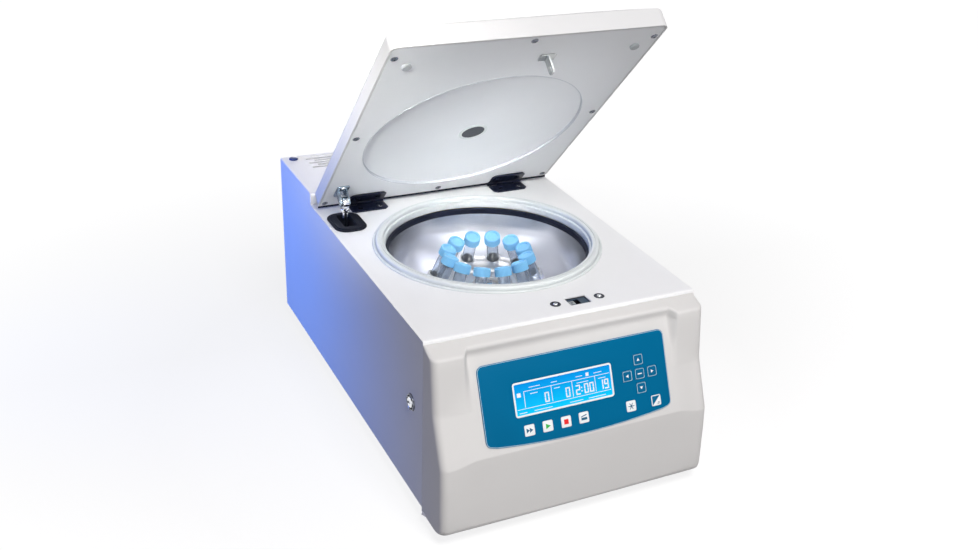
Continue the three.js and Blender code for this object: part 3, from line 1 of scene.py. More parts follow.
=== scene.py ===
"""Refrigerated bench centrifuge: lid open on its gas strut, angle rotor with twelve capped tubes.

Lengths are metres in the row frame: +Z up, +Y from the control panel to the rear, origin on the
bench under the middle of the footprint.
"""
import logging
import math
from collections.abc import Callable, Iterator, Sequence
from contextlib import contextmanager
from dataclasses import dataclass, field
from enum import Enum

import bmesh
import bpy
from mathutils import Matrix, Vector


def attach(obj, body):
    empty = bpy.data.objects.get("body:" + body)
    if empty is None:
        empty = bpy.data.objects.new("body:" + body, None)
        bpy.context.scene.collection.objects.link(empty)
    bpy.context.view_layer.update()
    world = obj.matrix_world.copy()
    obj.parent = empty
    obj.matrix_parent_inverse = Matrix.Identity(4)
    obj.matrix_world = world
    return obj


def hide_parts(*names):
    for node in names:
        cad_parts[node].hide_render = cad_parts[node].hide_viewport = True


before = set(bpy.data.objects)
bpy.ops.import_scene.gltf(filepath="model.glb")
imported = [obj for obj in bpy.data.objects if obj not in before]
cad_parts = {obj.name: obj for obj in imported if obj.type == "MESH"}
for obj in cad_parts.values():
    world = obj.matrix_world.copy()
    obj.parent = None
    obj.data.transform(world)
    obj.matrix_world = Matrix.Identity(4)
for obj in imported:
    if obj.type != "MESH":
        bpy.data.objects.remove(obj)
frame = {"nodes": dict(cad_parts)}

log = logging.getLogger("centrifuge")

Point = tuple[float, float, float]
Spot = tuple[float, float]
Profile = list[Spot]
Colour = tuple[float, float, float]
Thing = bpy.types.Object
Tree = bpy.types.NodeTree
Node = bpy.types.Node
Socket = bpy.types.NodeSocket

HALF_WIDTH = 0.185
DECK = 0.254
BOWL_CENTRE: Point = (0.0, -0.035, 0.0)
HINGE_LINE: Point = (0.0, 0.1488, 0.2588)
LID_OPEN = 45.8
DISPLAY_AT: Spot = (-0.0182, -0.0494)
DISPLAY_OPENING: Spot = (0.1356, 0.0426)


class Axis(Enum):
    """Direction that a form runs along, as its place in a point."""

    X = 0
    Y = 1
    Z = 2


class Body(Enum):
    """Rigid bodies that the pieces ride on."""

    CABINET = "cabinet"
    LID = "lid"
    STRUT_LOWER = "strut_lower"
    STRUT_UPPER = "strut_upper"
    ROTOR = "rotor"
    BOLT = "bolt"
    FAN = "fan"
    ROCKER = "rocker"


class Slot(Enum):
    """Material slots of the record."""

    POWDER = "white_powder"
    MOULDING = "warm_moulding"
    LINER = "liner_grey"
    SEAL = "seal_grey"
    STAINLESS = "stainless"
    ALUMINIUM = "aluminium"
    ZINC = "zinc_steel"
    CHROME = "chrome"
    BLACK = "black_coat"
    RUBBER = "black_rubber"
    FOAM = "foam"
    COPPER = "copper"
    OVERLAY = "overlay_teal"
    DISPLAY = "display_blue"
    KEY_WHITE = "key_white"
    KEY_TEAL = "key_teal"
    TUBE = "tube_blue"
    SMOKED = "smoked_glass"
    PLASTIC = "black_plastic"


# Finishes


@dataclass(frozen=True)
class Finish:
    """Surface of one material: its colour, gloss and fine relief.

    Colours are linear. Grain sizes are metres across one grain.
    """

    name: str
    slot: Slot
    colour: Colour
    roughness: float
    metallic: float = 0.0
    shade: float = 0.03
    patch: float = 0.05
    rough_spread: float = 0.04
    grain: float = 0.0012
    grain_height: float = 0.00003
    stretch: Point = (1.0, 1.0, 1.0)
    specular: float = 0.5

    def material(self) -> bpy.types.Material:
        """Return the material, made on first use."""
        found = bpy.data.materials.get(self.name)
        if found:
            return found
        made = bpy.data.materials.new(self.name)
        made.use_nodes = True
        made.diffuse_color = (*self.colour, 1.0)
        shader = made.node_tree.nodes["Principled BSDF"]
        feed(made.node_tree, shader, self.constants())
        self.add_relief(made.node_tree, shader)
        return made

    def constants(self) -> dict[str, float]:
        """Return what is the same all over the surface."""
        return {"Metallic": self.metallic, "Specular IOR Level": self.specular}

    def tone(self, factor: float) -> tuple[float, ...]:
        """Return the colour, lighter or darker by a factor."""
        return (*[min(1.0, part * factor) for part in self.colour], 1.0)

    def add_relief(self, tree: Tree, shader: Node) -> None:
        """Link soft colour patches, uneven gloss and fine grain to the shader."""
        place = node(tree, "Mapping", {"Vector": object_place(tree), "Scale": self.stretch}).outputs["Vector"]
        patches = noise(tree, place, 1.0 / self.patch, 3.0)
        tint = blend(tree, patches, self.tone(1 - self.shade), self.tone(1 + self.shade))
        gloss = (max(0.02, self.roughness - self.rough_spread), self.roughness + self.rough_spread)
        relief = node(tree, "Bump", {"Height": noise(tree, place, 1.0 / self.grain, 2.0),
                                     "Distance": self.grain_height})
        feed(tree, shader, {"Base Color": tint, "Roughness": ramp(tree, patches, (0.0, 1.0), gloss),
                            "Normal": relief.outputs["Normal"]})


@dataclass(frozen=True)
class TurnedFinish(Finish):
    """Metal polished on a lathe: faint rings about a vertical axis through a centre."""

    centre: Point = (0.0, 0.0, 0.0)
    ring: float = 0.0015
    ring_height: float = 0.000012

    def add_relief(self, tree: Tree, shader: Node) -> None:
        """Add rings of tool marks to the grain."""
        super().add_relief(tree, shader)
        grain = shader.inputs["Normal"].links[0].from_socket
        centred = node(tree, "Mapping", {"Vector": object_place(tree), "Location": tuple(-c for c in self.centre)})
        rings = node(tree, "TexWave", {"Vector": centred.outputs["Vector"], "Scale": 0.05 / self.ring,
                                       "Distortion": 0.6, "Detail": 2.0}, wave_type="RINGS", rings_direction="Z")
        marks = node(tree, "Bump", {"Height": rings.outputs["Fac"], "Distance": self.ring_height, "Normal": grain})
        feed(tree, shader, {"Normal": marks.outputs["Normal"], "Anisotropic": 0.35})


@dataclass(frozen=True)
class ClearFinish(Finish):
    """Clear or tinted plastic or glass that light passes through."""

    clarity: float = 1.0
    index: float = 1.45

    def constants(self) -> dict[str, float]:
        """Add the transmission of the clear wall."""
        return {**super().constants(), "Transmission Weight": self.clarity, "IOR": self.index}


@dataclass(frozen=True)
class DisplayFinish(Finish):
    """Backlit display that grows lighter towards its lower edge."""

    top_height: float = 0.0
    bottom_height: float = 1.0
    lower_colour: Colour = (0.0, 0.0, 0.0)
    glow: float = 0.6

    def add_relief(self, tree: Tree, shader: Node) -> None:
        """Blend two blues by height and let them glow."""
        split = node(tree, "SeparateXYZ", {"Vector": object_place(tree)})
        height = ramp(tree, split.outputs["Z"], (self.bottom_height, self.top_height), (0.0, 1.0))
        blues = blend(tree, height, (*self.lower_colour, 1.0), (*self.colour, 1.0))
        feed(tree, shader, {"Base Color": blues, "Emission Color": blues, "Emission Strength": self.glow,
                            "Roughness": self.roughness})


def feed(tree: Tree, target: Node, inputs: dict[str | int, object]) -> None:
    """Set a node's inputs, or link them where the value is a socket."""
    for key, value in inputs.items():
        if isinstance(value, Socket):
            tree.links.new(value, target.inputs[key])
        else:
            target.inputs[key].default_value = value


def node(tree: Tree, kind: str, inputs: dict[str | int, object], **settings: object) -> Node:
    """Return a new node with its inputs set or linked.

    Args:
        tree: node tree that it joins.
        kind: type of the node, without the word ShaderNode.
        inputs: value or socket of each input.
        settings: other properties of the node.

    Returns:
        The node.
    """
    made = tree.nodes.new(f"ShaderNode{kind}")
    for key, value in settings.items():
        setattr(made, key, value)
    feed(tree, made, inputs)
    return made


def object_place(tree: Tree) -> Socket:
    """Return the place in the piece's own coordinates."""
    return node(tree, "TexCoord", {}).outputs["Object"]


def noise(tree: Tree, place: Socket, scale: float, detail: float) -> Socket:
    """Return noise read at a place, in grains to the metre and octaves."""
    return node(tree, "TexNoise", {"Vector": place, "Scale": scale, "Detail": detail}).outputs["Fac"]


def blend(tree: Tree, share: Socket, low: Sequence[float], high: Sequence[float]) -> Socket:
    """Return a colour between two."""
    return node(tree, "Mix", {0: share, 6: low, 7: high}, data_type="RGBA").outputs[2]


def ramp(tree: Tree, value: Socket, span: Spot, reach: Spot) -> Socket:
    """Return a value carried from one span to another."""
    ends = dict(zip(("From Min", "From Max", "To Min", "To Max"), (*span, *reach)))
    return node(tree, "MapRange", {"Value": value, **ends}).outputs["Result"]


def seen_rays(tree: Tree) -> Socket:
    """Return 1 for rays of the camera and those that metal and glass send on, and 0 for the rest."""
    path = node(tree, "LightPath", {})
    found = path.outputs["Is Camera Ray"]
    for key in ("Is Glossy Ray", "Is Transmission Ray"):
        found = node(tree, "Math", {0: found, 1: path.outputs[key]}, operation="MAXIMUM").outputs["Value"]
    return found


def printed(name: str, slot: Slot, colour: Colour, roughness: float = 0.4, specular: float = 0.5) -> Finish:
    """Return the finish of a printed film, whose grain is hardly felt."""
    return Finish(name, slot, colour, roughness, grain=0.0005, grain_height=0.00001, specular=specular)


POWDER = Finish("powder_coat", Slot.POWDER, (0.86, 0.87, 0.88), 0.5, grain=0.0016, grain_height=0.00005, shade=0.015,
                specular=0.15)
MOULDING = Finish("painted_moulding", Slot.MOULDING, (0.685, 0.68, 0.67), 0.45, grain=0.0009,
                  grain_height=0.00003, shade=0.015, specular=0.2)
LINER = Finish("formed_liner", Slot.LINER, (0.82, 0.84, 0.86), 0.45, grain=0.0006, grain_height=0.00002, shade=0.02,
               specular=0.3)
SEAL = Finish("silicone_seal", Slot.SEAL, (0.70, 0.74, 0.745), 0.38, grain=0.0007, grain_height=0.00002)
# Painted shade: near-black ring, kept in the black rubber slot, that stands in for the shadowed gap between seal and
# bowl.
PAINTED_SHADE_BAND = Finish("chamber_shade_band", Slot.RUBBER, (0.008, 0.011, 0.026), 0.35, grain=0.001, grain_height=0.00002,
                    specular=0.2)
# The cabinet's white powder coat made darker on the lid: painted shade.
SHADED_LID_POWDER = Finish("lid_coat_painted_shade", Slot.POWDER, (0.67, 0.675, 0.68), 0.5, grain=0.0016, grain_height=0.00005, shade=0.015,
                    specular=0.15)
STAINLESS = TurnedFinish("polished_stainless", Slot.STAINLESS, (0.90, 0.92, 1.0), 0.21, metallic=1.0, shade=0.05,
                         rough_spread=0.06, grain=0.0008, grain_height=0.00001, centre=BOWL_CENTRE, ring=0.002)
ALUMINIUM = TurnedFinish("turned_aluminium", Slot.ALUMINIUM, (0.93, 0.92, 0.92), 0.30, metallic=1.0, shade=0.03,
                         grain=0.0006, grain_height=0.00001, centre=BOWL_CENTRE, ring=0.0009)
FIN_METAL = Finish("condenser_fins", Slot.ALUMINIUM, (0.62, 0.63, 0.65), 0.35, metallic=1.0, stretch=(6.0, 1.0, 0.2))
ZINC = Finish("zinc_plate", Slot.ZINC, (0.50, 0.52, 0.52), 0.38, metallic=1.0, shade=0.12, patch=0.012,
              rough_spread=0.1)
CHROME = Finish("bright_chrome", Slot.CHROME, (0.82, 0.83, 0.85), 0.08, metallic=1.0, rough_spread=0.02)
BLACK = Finish("black_coating", Slot.BLACK, (0.008, 0.011, 0.026), 0.30, grain=0.0008, specular=0.3)
RUBBER = Finish("moulded_rubber", Slot.RUBBER, (0.010, 0.012, 0.020), 0.50, grain=0.0007, grain_height=0.00005,
                specular=0.15)
TINTED_ZINC = Finish("tinted_zinc", Slot.ZINC, (0.36, 0.43, 0.50), 0.24, metallic=1.0, shade=0.08, patch=0.01)
SLATE = Finish("slate_moulding", Slot.PLASTIC, (0.045, 0.07, 0.105), 0.45, grain=0.0006, specular=0.3)
PLUG_NAVY = Finish("navy_plug", Slot.BLACK, (0.012, 0.035, 0.16), 0.35, grain=0.0008, specular=0.3)
DARK_STEEL = Finish("dark_steel", Slot.CHROME, (0.16, 0.17, 0.20), 0.22, metallic=1.0)
FOAM = Finish("insulating_foam", Slot.FOAM, (0.68, 0.56, 0.28), 0.85, grain=0.002, grain_height=0.0002, shade=0.08)
COPPER = Finish("drawn_copper", Slot.COPPER, (0.71, 0.33, 0.17), 0.28, metallic=1.0, shade=0.1, patch=0.01)
OVERLAY = Finish("printed_film", Slot.OVERLAY, (0.0, 0.135, 0.29), 0.5, grain=0.0005, grain_height=0.000012,
                 shade=0.02, specular=0.05)
# Pale print on the teal keys' rims; also used for the line round the film's edge, which is a painted highlight.
PALE_PRINT_AND_HIGHLIGHT = printed("pale_print_and_highlight", Slot.KEY_WHITE, (0.52, 0.72, 0.82))
WHITE_PRINT = printed("white_print", Slot.KEY_WHITE, (0.88, 0.90, 0.91))
KEY_TEAL = printed("teal_key_film", Slot.KEY_TEAL, (0.0, 0.125, 0.27), 0.45, 0.1)
KEY_WHITE = printed("white_key_film", Slot.KEY_WHITE, (0.88, 0.90, 0.91), 0.32)
INK_TEAL = printed("teal_ink", Slot.KEY_TEAL, (0.0, 0.09, 0.18))
INK_GREEN = printed("green_ink", Slot.KEY_WHITE, (0.01, 0.42, 0.05))
INK_RED = printed("red_ink", Slot.KEY_WHITE, (0.75, 0.006, 0.008))
CAP = Finish("cap_plastic", Slot.TUBE, (0.25, 0.61, 0.94), 0.34, grain=0.0006, grain_height=0.00002, shade=0.03)
TUBE = ClearFinish("clear_tube", Slot.TUBE, (0.78, 0.83, 0.90), 0.10, clarity=0.94, index=1.3, rough_spread=0.03)
SMOKED = ClearFinish("smoked_window", Slot.SMOKED, (0.13, 0.14, 0.155), 0.25, clarity=0.25, index=1.45,
                     specular=0.3)
PLASTIC = Finish("black_moulding", Slot.PLASTIC, (0.02, 0.021, 0.025), 0.42, grain=0.0006, grain_height=0.00004)
# Grey darker than the liner, used on the recess edge as painted shadow of the step.
RECESS_SHADE_GREY = Finish("recess_shade_grey", Slot.SEAL, (0.58, 0.61, 0.65), 0.5, grain=0.0006, grain_height=0.00002)
PAD_GREY = Finish("grey_pad", Slot.SEAL, (0.40, 0.43, 0.45), 0.6, grain=0.0006, grain_height=0.00004)


# Work at the bench: selecting, shaping and finishing


def choose(*things: Thing) -> None:
    """Leave edit mode and select only these objects, the last one active."""
    if bpy.context.mode != "OBJECT":
        bpy.ops.object.mode_set(mode="OBJECT")
    bpy.ops.object.select_all(action="DESELECT")
    for thing in things:
        thing.select_set(True)
        bpy.context.view_layer.objects.active = thing


@contextmanager
def editing(thing: Thing, selection: str = "SELECT") -> Iterator[bmesh.types.BMesh]:
    """Open a mesh for editing, and close it again.

    Args:
        thing: the piece to edit.
        selection: SELECT or DESELECT, what is done to all of it at first.

    Yields:
        Its mesh, for choosing edges.
    """
    choose(thing)
    bpy.ops.object.mode_set(mode="EDIT")
    bpy.ops.mesh.select_mode(type="VERT")
    bpy.ops.mesh.select_all(action=selection)
    yield bmesh.from_edit_mesh(thing.data)
    bpy.ops.object.mode_set(mode="OBJECT")


def round_picked(thing: Thing, test: Callable[[bmesh.types.BMEdge], bool], width: float, segments: int) -> Thing:
    """Round the edges of a piece that pass a test."""
    with editing(thing, "DESELECT") as mesh:
        bpy.ops.mesh.select_mode(type="EDGE")
        for edge in mesh.edges:
            edge.select_set(test(edge))
        bmesh.update_edit_mesh(thing.data)
        bpy.ops.mesh.bevel(offset=width, segments=segments, affect="EDGES")
    return thing


def middle(edge: bmesh.types.BMEdge) -> Vector:
    """Return the mean of an edge's ends."""
    return sum((vert.co for vert in edge.verts), Vector()) / 2


def runs_along(edge: bmesh.types.BMEdge, axis: Axis) -> bool:
    """Tell whether an edge lies along one axis."""
    run = (edge.verts[1].co - edge.verts[0].co).normalized()
    return abs(run[axis.value]) > 0.999


def settle(thing: Thing) -> Thing:
    """Put a piece's place into its mesh and its origin at the frame's."""
    choose(thing)
    bpy.ops.object.transform_apply(location=True, rotation=True, scale=True)
    return thing


def named(name: str) -> Thing:
    """Return the active object under a name."""
    made = bpy.context.active_object
    made.name = name
    return made


def block(name: str, low: Sequence[float], high: Sequence[float]) -> Thing:
    """Return a block between two corners, as a start for shaping."""
    choose()
    bpy.ops.mesh.primitive_cube_add(size=1.0, location=[(a + b) / 2 for a, b in zip(low, high)])
    made = named(name)
    made.scale = [b - a for a, b in zip(low, high)]
    return settle(made)


def rod(name: str, radius: float, low: Point, length: float, axis: Axis, sides: int = 48) -> Thing:
    """Return a round bar from its low end along X or Z."""
    half = Vector([length / 2 if place == axis.value else 0.0 for place in range(3)])
    turn = (0.0, math.pi / 2 if axis is Axis.X else 0.0, 0.0)
    choose()
    bpy.ops.mesh.primitive_cylinder_add(vertices=sides, radius=radius, depth=length, location=Vector(low) + half,
                                        rotation=turn)
    return settle(named(name))


def apply_modifier(thing: Thing, kind: str, **settings: object) -> Thing:
    """Add one modifier, set it and apply it."""
    choose(thing)
    made = thing.modifiers.new(kind.title(), kind)
    for key, value in settings.items():
        setattr(made, key, value)
    bpy.ops.object.modifier_apply(modifier=made.name)
    return thing


def combine(thing: Thing, operation: str, tool: Thing, **settings: bool) -> Thing:
    """Unite, cut or intersect a piece with a form, and throw the form away."""
    apply_modifier(thing, "BOOLEAN", operation=operation, solver="EXACT", object=tool, **settings)
    bpy.data.objects.remove(tool)
    return thing


def drill(thing: Thing, *cutters: Thing) -> Thing:
    """Cut several forms out of a piece and throw the cutters away."""
    return combine(thing, "DIFFERENCE", unite("cutter", cutters), use_self=True)


def unite(name: str, things: Sequence[Thing]) -> Thing:
    """Join several meshes into one piece under a name."""
    choose(*things)
    if len(things) > 1:
        bpy.ops.object.join()
    made = named(name)
    made.data.name = name
    return made


def round_edges(thing: Thing, width: float, segments: int = 3, angle: float = 35.0) -> Thing:
    """Round every edge sharper than an angle."""
    return apply_modifier(thing, "BEVEL", width=width, segments=segments, limit_method="ANGLE",
                          angle_limit=math.radians(angle), harden_normals=False)


def smooth(thing: Thing, degrees: float = 32.0) -> Thing:
    """Shade a piece smooth except over its sharp edges."""
    choose(thing)
    bpy.ops.object.shade_smooth_by_angle(angle=math.radians(degrees))
    return thing


def chain(name: str, points: Sequence[Point], closed: bool) -> Thing:
    """Return a string of edges through points, drawn by extruding one point.

    Args:
        name: name of the piece.
        points: places in order.
        closed: whether the string ends where it starts and is filled.

    Returns:
        The piece, a wire or one flat face.
    """
    choose()
    bpy.ops.mesh.primitive_plane_add(size=0.001, location=(0.0, 0.0, 0.0))
    made = named(name)
    with editing(made):
        bpy.ops.mesh.merge(type="CENTER")
        bpy.ops.transform.translate(value=points[0])
        for before, after in zip(points, points[1:]):
            step = Vector(after) - Vector(before)
            bpy.ops.mesh.extrude_vertices_move(TRANSFORM_OT_translate={"value": step})
        if closed:
            bpy.ops.mesh.select_all(action="SELECT")
            bpy.ops.mesh.edge_face_add()
    return made


def turned(name: str, profile: Profile, centre: Point = (0.0, 0.0, 0.0), steps: int = 96,
           closed: bool = False) -> Thing:
    """Return a form spun about a vertical axis.

    Args:
        name: name of the piece.
        profile: radius and height of each point, from the underside outwards and up.
        centre: a point on the axis.
        steps: faces round the axis.
        closed: whether the profile is a ring that joins its own start.

    Returns:
        The spun piece, its faces turned outwards.
    """
    points = [(centre[0] + radius, centre[1], centre[2] + height) for radius, height in profile]
    if closed:
        points.append(points[0])
    made = chain(name, points, False)
    with editing(made):
        bpy.ops.mesh.spin(steps=steps, angle=math.tau, center=centre, axis=(0.0, 0.0, 1.0))
        bpy.ops.mesh.select_all(action="SELECT")
        bpy.ops.mesh.remove_doubles(threshold=0.000005)
        bpy.ops.mesh.normals_make_consistent(inside=False)
    return made


def prism(name: str, outline: Profile, low: float, high: float, axis: Axis = Axis.Z) -> Thing:
    """Return a flat outline given a thickness.

    Args:
        name: name of the piece.
        outline: points in the two directions across the axis.
        low: where the piece starts on the axis.
        high: where it ends.
        axis: direction of the thickness.

    Returns:
        The piece, its faces turned outwards.
    """
    index = axis.value
    rise = Vector([high - low if place == index else 0.0 for place in range(3)])
    made = chain(name, [(*spot[:index], low, *spot[index:]) for spot in outline], True)
    with editing(made):
        bpy.ops.mesh.extrude_region_move(TRANSFORM_OT_translate={"value": rise})
        bpy.ops.mesh.select_all(action="SELECT")
        bpy.ops.mesh.normals_make_consistent(inside=False)
    return made


def arc(centre: tuple[float, float], radius: float, start: float, end: float, steps: int = 6) -> Profile:
    """Return points on an arc between two angles in degrees."""
    turns = [math.radians(start + (end - start) * step / steps) for step in range(steps + 1)]
    return [(centre[0] + radius * math.cos(turn), centre[1] + radius * math.sin(turn)) for turn in turns]


def rounded(corners: Sequence[tuple[float, float, float]], steps: int = 5) -> Profile:
    """Return an open line whose corners are rounded.

    Args:
        corners: place and radius of each corner; the ends are taken sharp.
        steps: faces on each rounding.

    Returns:
        Points along the line, the same number for the same corners and steps.
    """
    points = [(corners[0][0], corners[0][1])]
    for before, here, after in zip(corners, corners[1:], corners[2:]):
        corner = Vector(here[:2])
        arrive = (Vector(before[:2]) - corner).normalized()
        leave = (Vector(after[:2]) - corner).normalized()
        half = arrive.angle(leave) / 2
        reach = here[2] / math.tan(half)
        first, last = corner + arrive * reach, corner + leave * reach
        for step in range(steps + 1):
            share = step / steps
            points.append(tuple(first * (1 - share) ** 2 + corner * 2 * share * (1 - share) + last * share ** 2))
    points.append((corners[-1][0], corners[-1][1]))
    return points


def rectangle(centre: Spot, half_x: float, half_y: float, corner: float, steps: int) -> Profile:
    """Return the outline of a rectangle with rounded corners."""
    line: Profile = []
    for sign_x, sign_y, start in ((1, 1, 0), (-1, 1, 90), (-1, -1, 180), (1, -1, 270)):
        line += arc((centre[0] + sign_x * (half_x - corner), centre[1] + sign_y * (half_y - corner)), corner,
                    start, start + 90, steps)
    return line


def corners_of(x0: float, y0: float, x1: float, y1: float) -> Profile:
    """Return the four corners of a rectangle."""
    return [(x0, y0), (x1, y0), (x1, y1), (x0, y1)]


def moved(thing: Thing, matrix: Matrix) -> Thing:
    """Carry a piece's mesh by a matrix, its object staying at the origin."""
    thing.matrix_world = matrix
    return settle(thing)


def twin(thing: Thing, matrix: Matrix) -> Thing:
    """Return a copy of a piece, carried by a matrix, with its own mesh."""
    made = thing.copy()
    made.data = thing.data.copy()
    bpy.context.collection.objects.link(made)
    return moved(made, matrix)


def refined(node: str, name: str, width: float, segments: int = 2, angle: float = 35.0) -> Thing:
    """Return a copy of a solid with its flats joined and its edges broken.

    Args:
        node: the solid that it starts from.
        name: name of the piece.
        width: width of the broken edges, zero where they stay sharp.
        segments: faces across each broken edge.
        angle: least angle of an edge that is broken, in degrees.

    Returns:
        The piece, which replaces the solid.
    """
    source = frame["nodes"][node]
    made = bpy.data.objects.new(name, source.data.copy())
    bpy.context.collection.objects.link(made)
    made.data.materials.clear()
    with editing(made):
        bpy.ops.mesh.remove_doubles(threshold=0.00001)
        bpy.ops.mesh.dissolve_limited(angle_limit=math.radians(1.0))
    if width:
        round_edges(made, width, segments, angle)
    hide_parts(node)
    return smooth(made)


def dress(thing: Thing, finish: Finish, body: Body | str, *nodes: str) -> Thing:
    """Give a finished piece its material, its body and the solids that it stands for."""
    thing.data.materials.clear()
    thing.data.materials.append(finish.material())
    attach(thing, body.value if isinstance(body, Body) else body)
    if nodes:
        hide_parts(*nodes)
    log.info("%s: %d faces on %s", thing.name, len(thing.data.polygons), body)
    return thing


@dataclass
class ScrewSize:
    """A pan-head screw with a driver cross."""

    head: float = 0.0038
    height: float = 0.0016
    slot_width: float = 0.0009
    slot_depth: float = 0.0009

    def make(self, name: str, seat: Matrix) -> Thing:
        """Return a screw whose head stands up the seat's Z from its origin."""
        line = [(0.0, -0.0002), (self.head, -0.0002), (self.head, 0.0)]
        line += arc((self.head - self.height, 0.0), self.height, 0.0, 80.0, 4)[1:] + [(0.0, self.height)]
        head = turned(name, line, steps=24)
        low, high, reach, half = self.height - self.slot_depth, self.height * 2, self.head * 0.6, self.slot_width / 2
        drill(head, block("slot", (-reach, -half, low), (reach, half, high)))
        drill(head, block("slot", (-half, -reach, low), (half, reach, high)))
        return smooth(moved(head, seat))


# Cabinet


@dataclass
class CabinetBody:
    """Folded sheet-metal body with its deck openings, air slots and side fastener."""

    front: float = -0.2595
    rear: float = 0.3235
    step: float = 0.171
    base: float = 0.022
    top: float = 0.272
    sheet: float = 0.0015
    front_fold: float = 0.0026
    lip: float = 0.0075
    side_fold: float = 0.0022
    opening: float = 0.144
    lock_slot: tuple[float, float, float, float] = (0.032, -0.232, 0.029, 0.020)
    strut_slot: tuple[float, float, float, float] = (-0.157, 0.0928, 0.020, 0.046)
    vent_rows: int = 6
    vent_pitch: float = 0.009
    vent_run: float = 0.046
    vent_step: float = 0.058
    vent_width: float = 0.0055
    vent_shift: float = -0.006
    vents_in_row: int = 5

    def side_line(self, inset: float, over: float) -> Profile:
        """Return the folded sheet's side view.

        Args:
            inset: distance inside the outer face.
            over: how far the line runs past the open ends.

        Returns:
            Points round the side view, in Y and Z.
        """
        line = [(self.front - over, self.base - over), (self.rear + over, self.base - over)]
        line += [(self.rear + over, self.top - inset)]
        line += arc((self.step + self.side_fold, self.top - self.side_fold), max(0.0004, self.side_fold - inset),
                    90, 180, 4)
        line += [(self.step + inset, DECK - inset)]
        if over:
            return line + [(self.front + inset, DECK - inset), (self.front + inset, DECK - self.lip),
                           (self.front - over, DECK - self.lip)]
        return line + arc((self.front + self.front_fold, DECK - self.front_fold),
                          max(0.0004, self.front_fold - inset), 90, 180, 6)

    def folded(self, name: str, inset: float, over: float) -> Thing:
        """Return the side view carried across the cabinet."""
        return prism(name, self.side_line(inset, over), inset - HALF_WIDTH, HALF_WIDTH - inset, Axis.X)

    def shell(self) -> None:
        """Make the folded body with all its openings."""
        outer = self.folded("cabinet_shell_form", 0.0, 0.0)
        round_picked(outer, lambda edge: runs_along(edge, Axis.Y) and middle(edge).z > DECK - 0.001
                     and abs(middle(edge).x) > HALF_WIDTH - 0.0001, self.side_fold, 4)
        drill(outer, self.folded("hollow", self.sheet, 0.02))
        drill(outer, rod("mouth", self.opening, (0.0, BOWL_CENTRE[1], DECK - 0.01), 0.02, Axis.Z, 128))
        for x, y, width, length in (self.lock_slot, self.strut_slot):
            slot = block("slot", (x - width / 2, y - length / 2, DECK - 0.01),
                         (x + width / 2, y + length / 2, DECK + 0.01))
            drill(outer, round_picked(slot, lambda edge: runs_along(edge, Axis.Z), self.sheet, 4))
        drill(outer, *[self.vent(row, place) for row in range(self.vent_rows) for place in range(self.vents_in_row)])
        dress(smooth(outer, 28.0), POWDER, Body.CABINET, "cabinet_shell")

    def vent(self, row: int, place: int) -> Thing:
        """Return the cutter of one air slot in the raised rear top."""
        y = self.rear - self.vent_pitch * (row + 1)
        shift = self.vent_shift + (self.vent_width if row % 2 == 0 else -self.vent_width)
        x = (place - (self.vents_in_row - 1) / 2) * self.vent_step + shift
        return block("vent", (x - self.vent_run / 2, y - self.vent_width / 2, self.top - 0.01),
                     (x + self.vent_run / 2, y + self.vent_width / 2, self.top + 0.01))

    def side_fastener(self) -> None:
        """Make the slotted chrome fastener in the left wall."""
        seat = Matrix.Translation((-HALF_WIDTH, -0.224, 0.153)) @ Matrix.Rotation(-math.pi / 2, 4, "Y")
        cup = turned("side_fastener_cup", [(0.0, 0.0002), (0.0088, 0.0002), (0.0092, 0.0018), (0.0102, 0.0024),
                                           (0.0110, 0.0016), (0.0112, -0.0004), (0.0, -0.0004)], steps=48)
        dress(smooth(moved(cup, seat)), DARK_STEEL, Body.CABINET)
        head = turned("side_fastener_head", [(0.0, 0.0001), (0.0066, 0.0001), (0.0068, 0.0022), (0.0058, 0.0031),
                                             (0.0, 0.0034)], steps=40)
        drill(head, block("slot", (-0.0018, -0.01, 0.0008), (0.0018, 0.01, 0.006)))
        dress(smooth(moved(head, seat @ Matrix.Rotation(0.4, 4, "Z"))), CHROME, Body.CABINET)

    def deck_plug(self) -> None:
        """Make the domed plug in the raised rear top."""
        dome = [(0.0, -0.0003), (0.0068, -0.0003), (0.0068, 0.0008)] + arc((0.0050, 0.0008), 0.0018, 20, 80, 4)
        plug = turned("rear_plug", dome + [(0.003, 0.0031), (0.0, 0.0032)], (-0.168, 0.311, self.top), 40)
        dress(smooth(plug, 50), PLUG_NAVY, Body.CABINET)

    def build(self) -> None:
        """Make the body and its fixings."""
        self.shell()
        self.side_fastener()
        self.deck_plug()


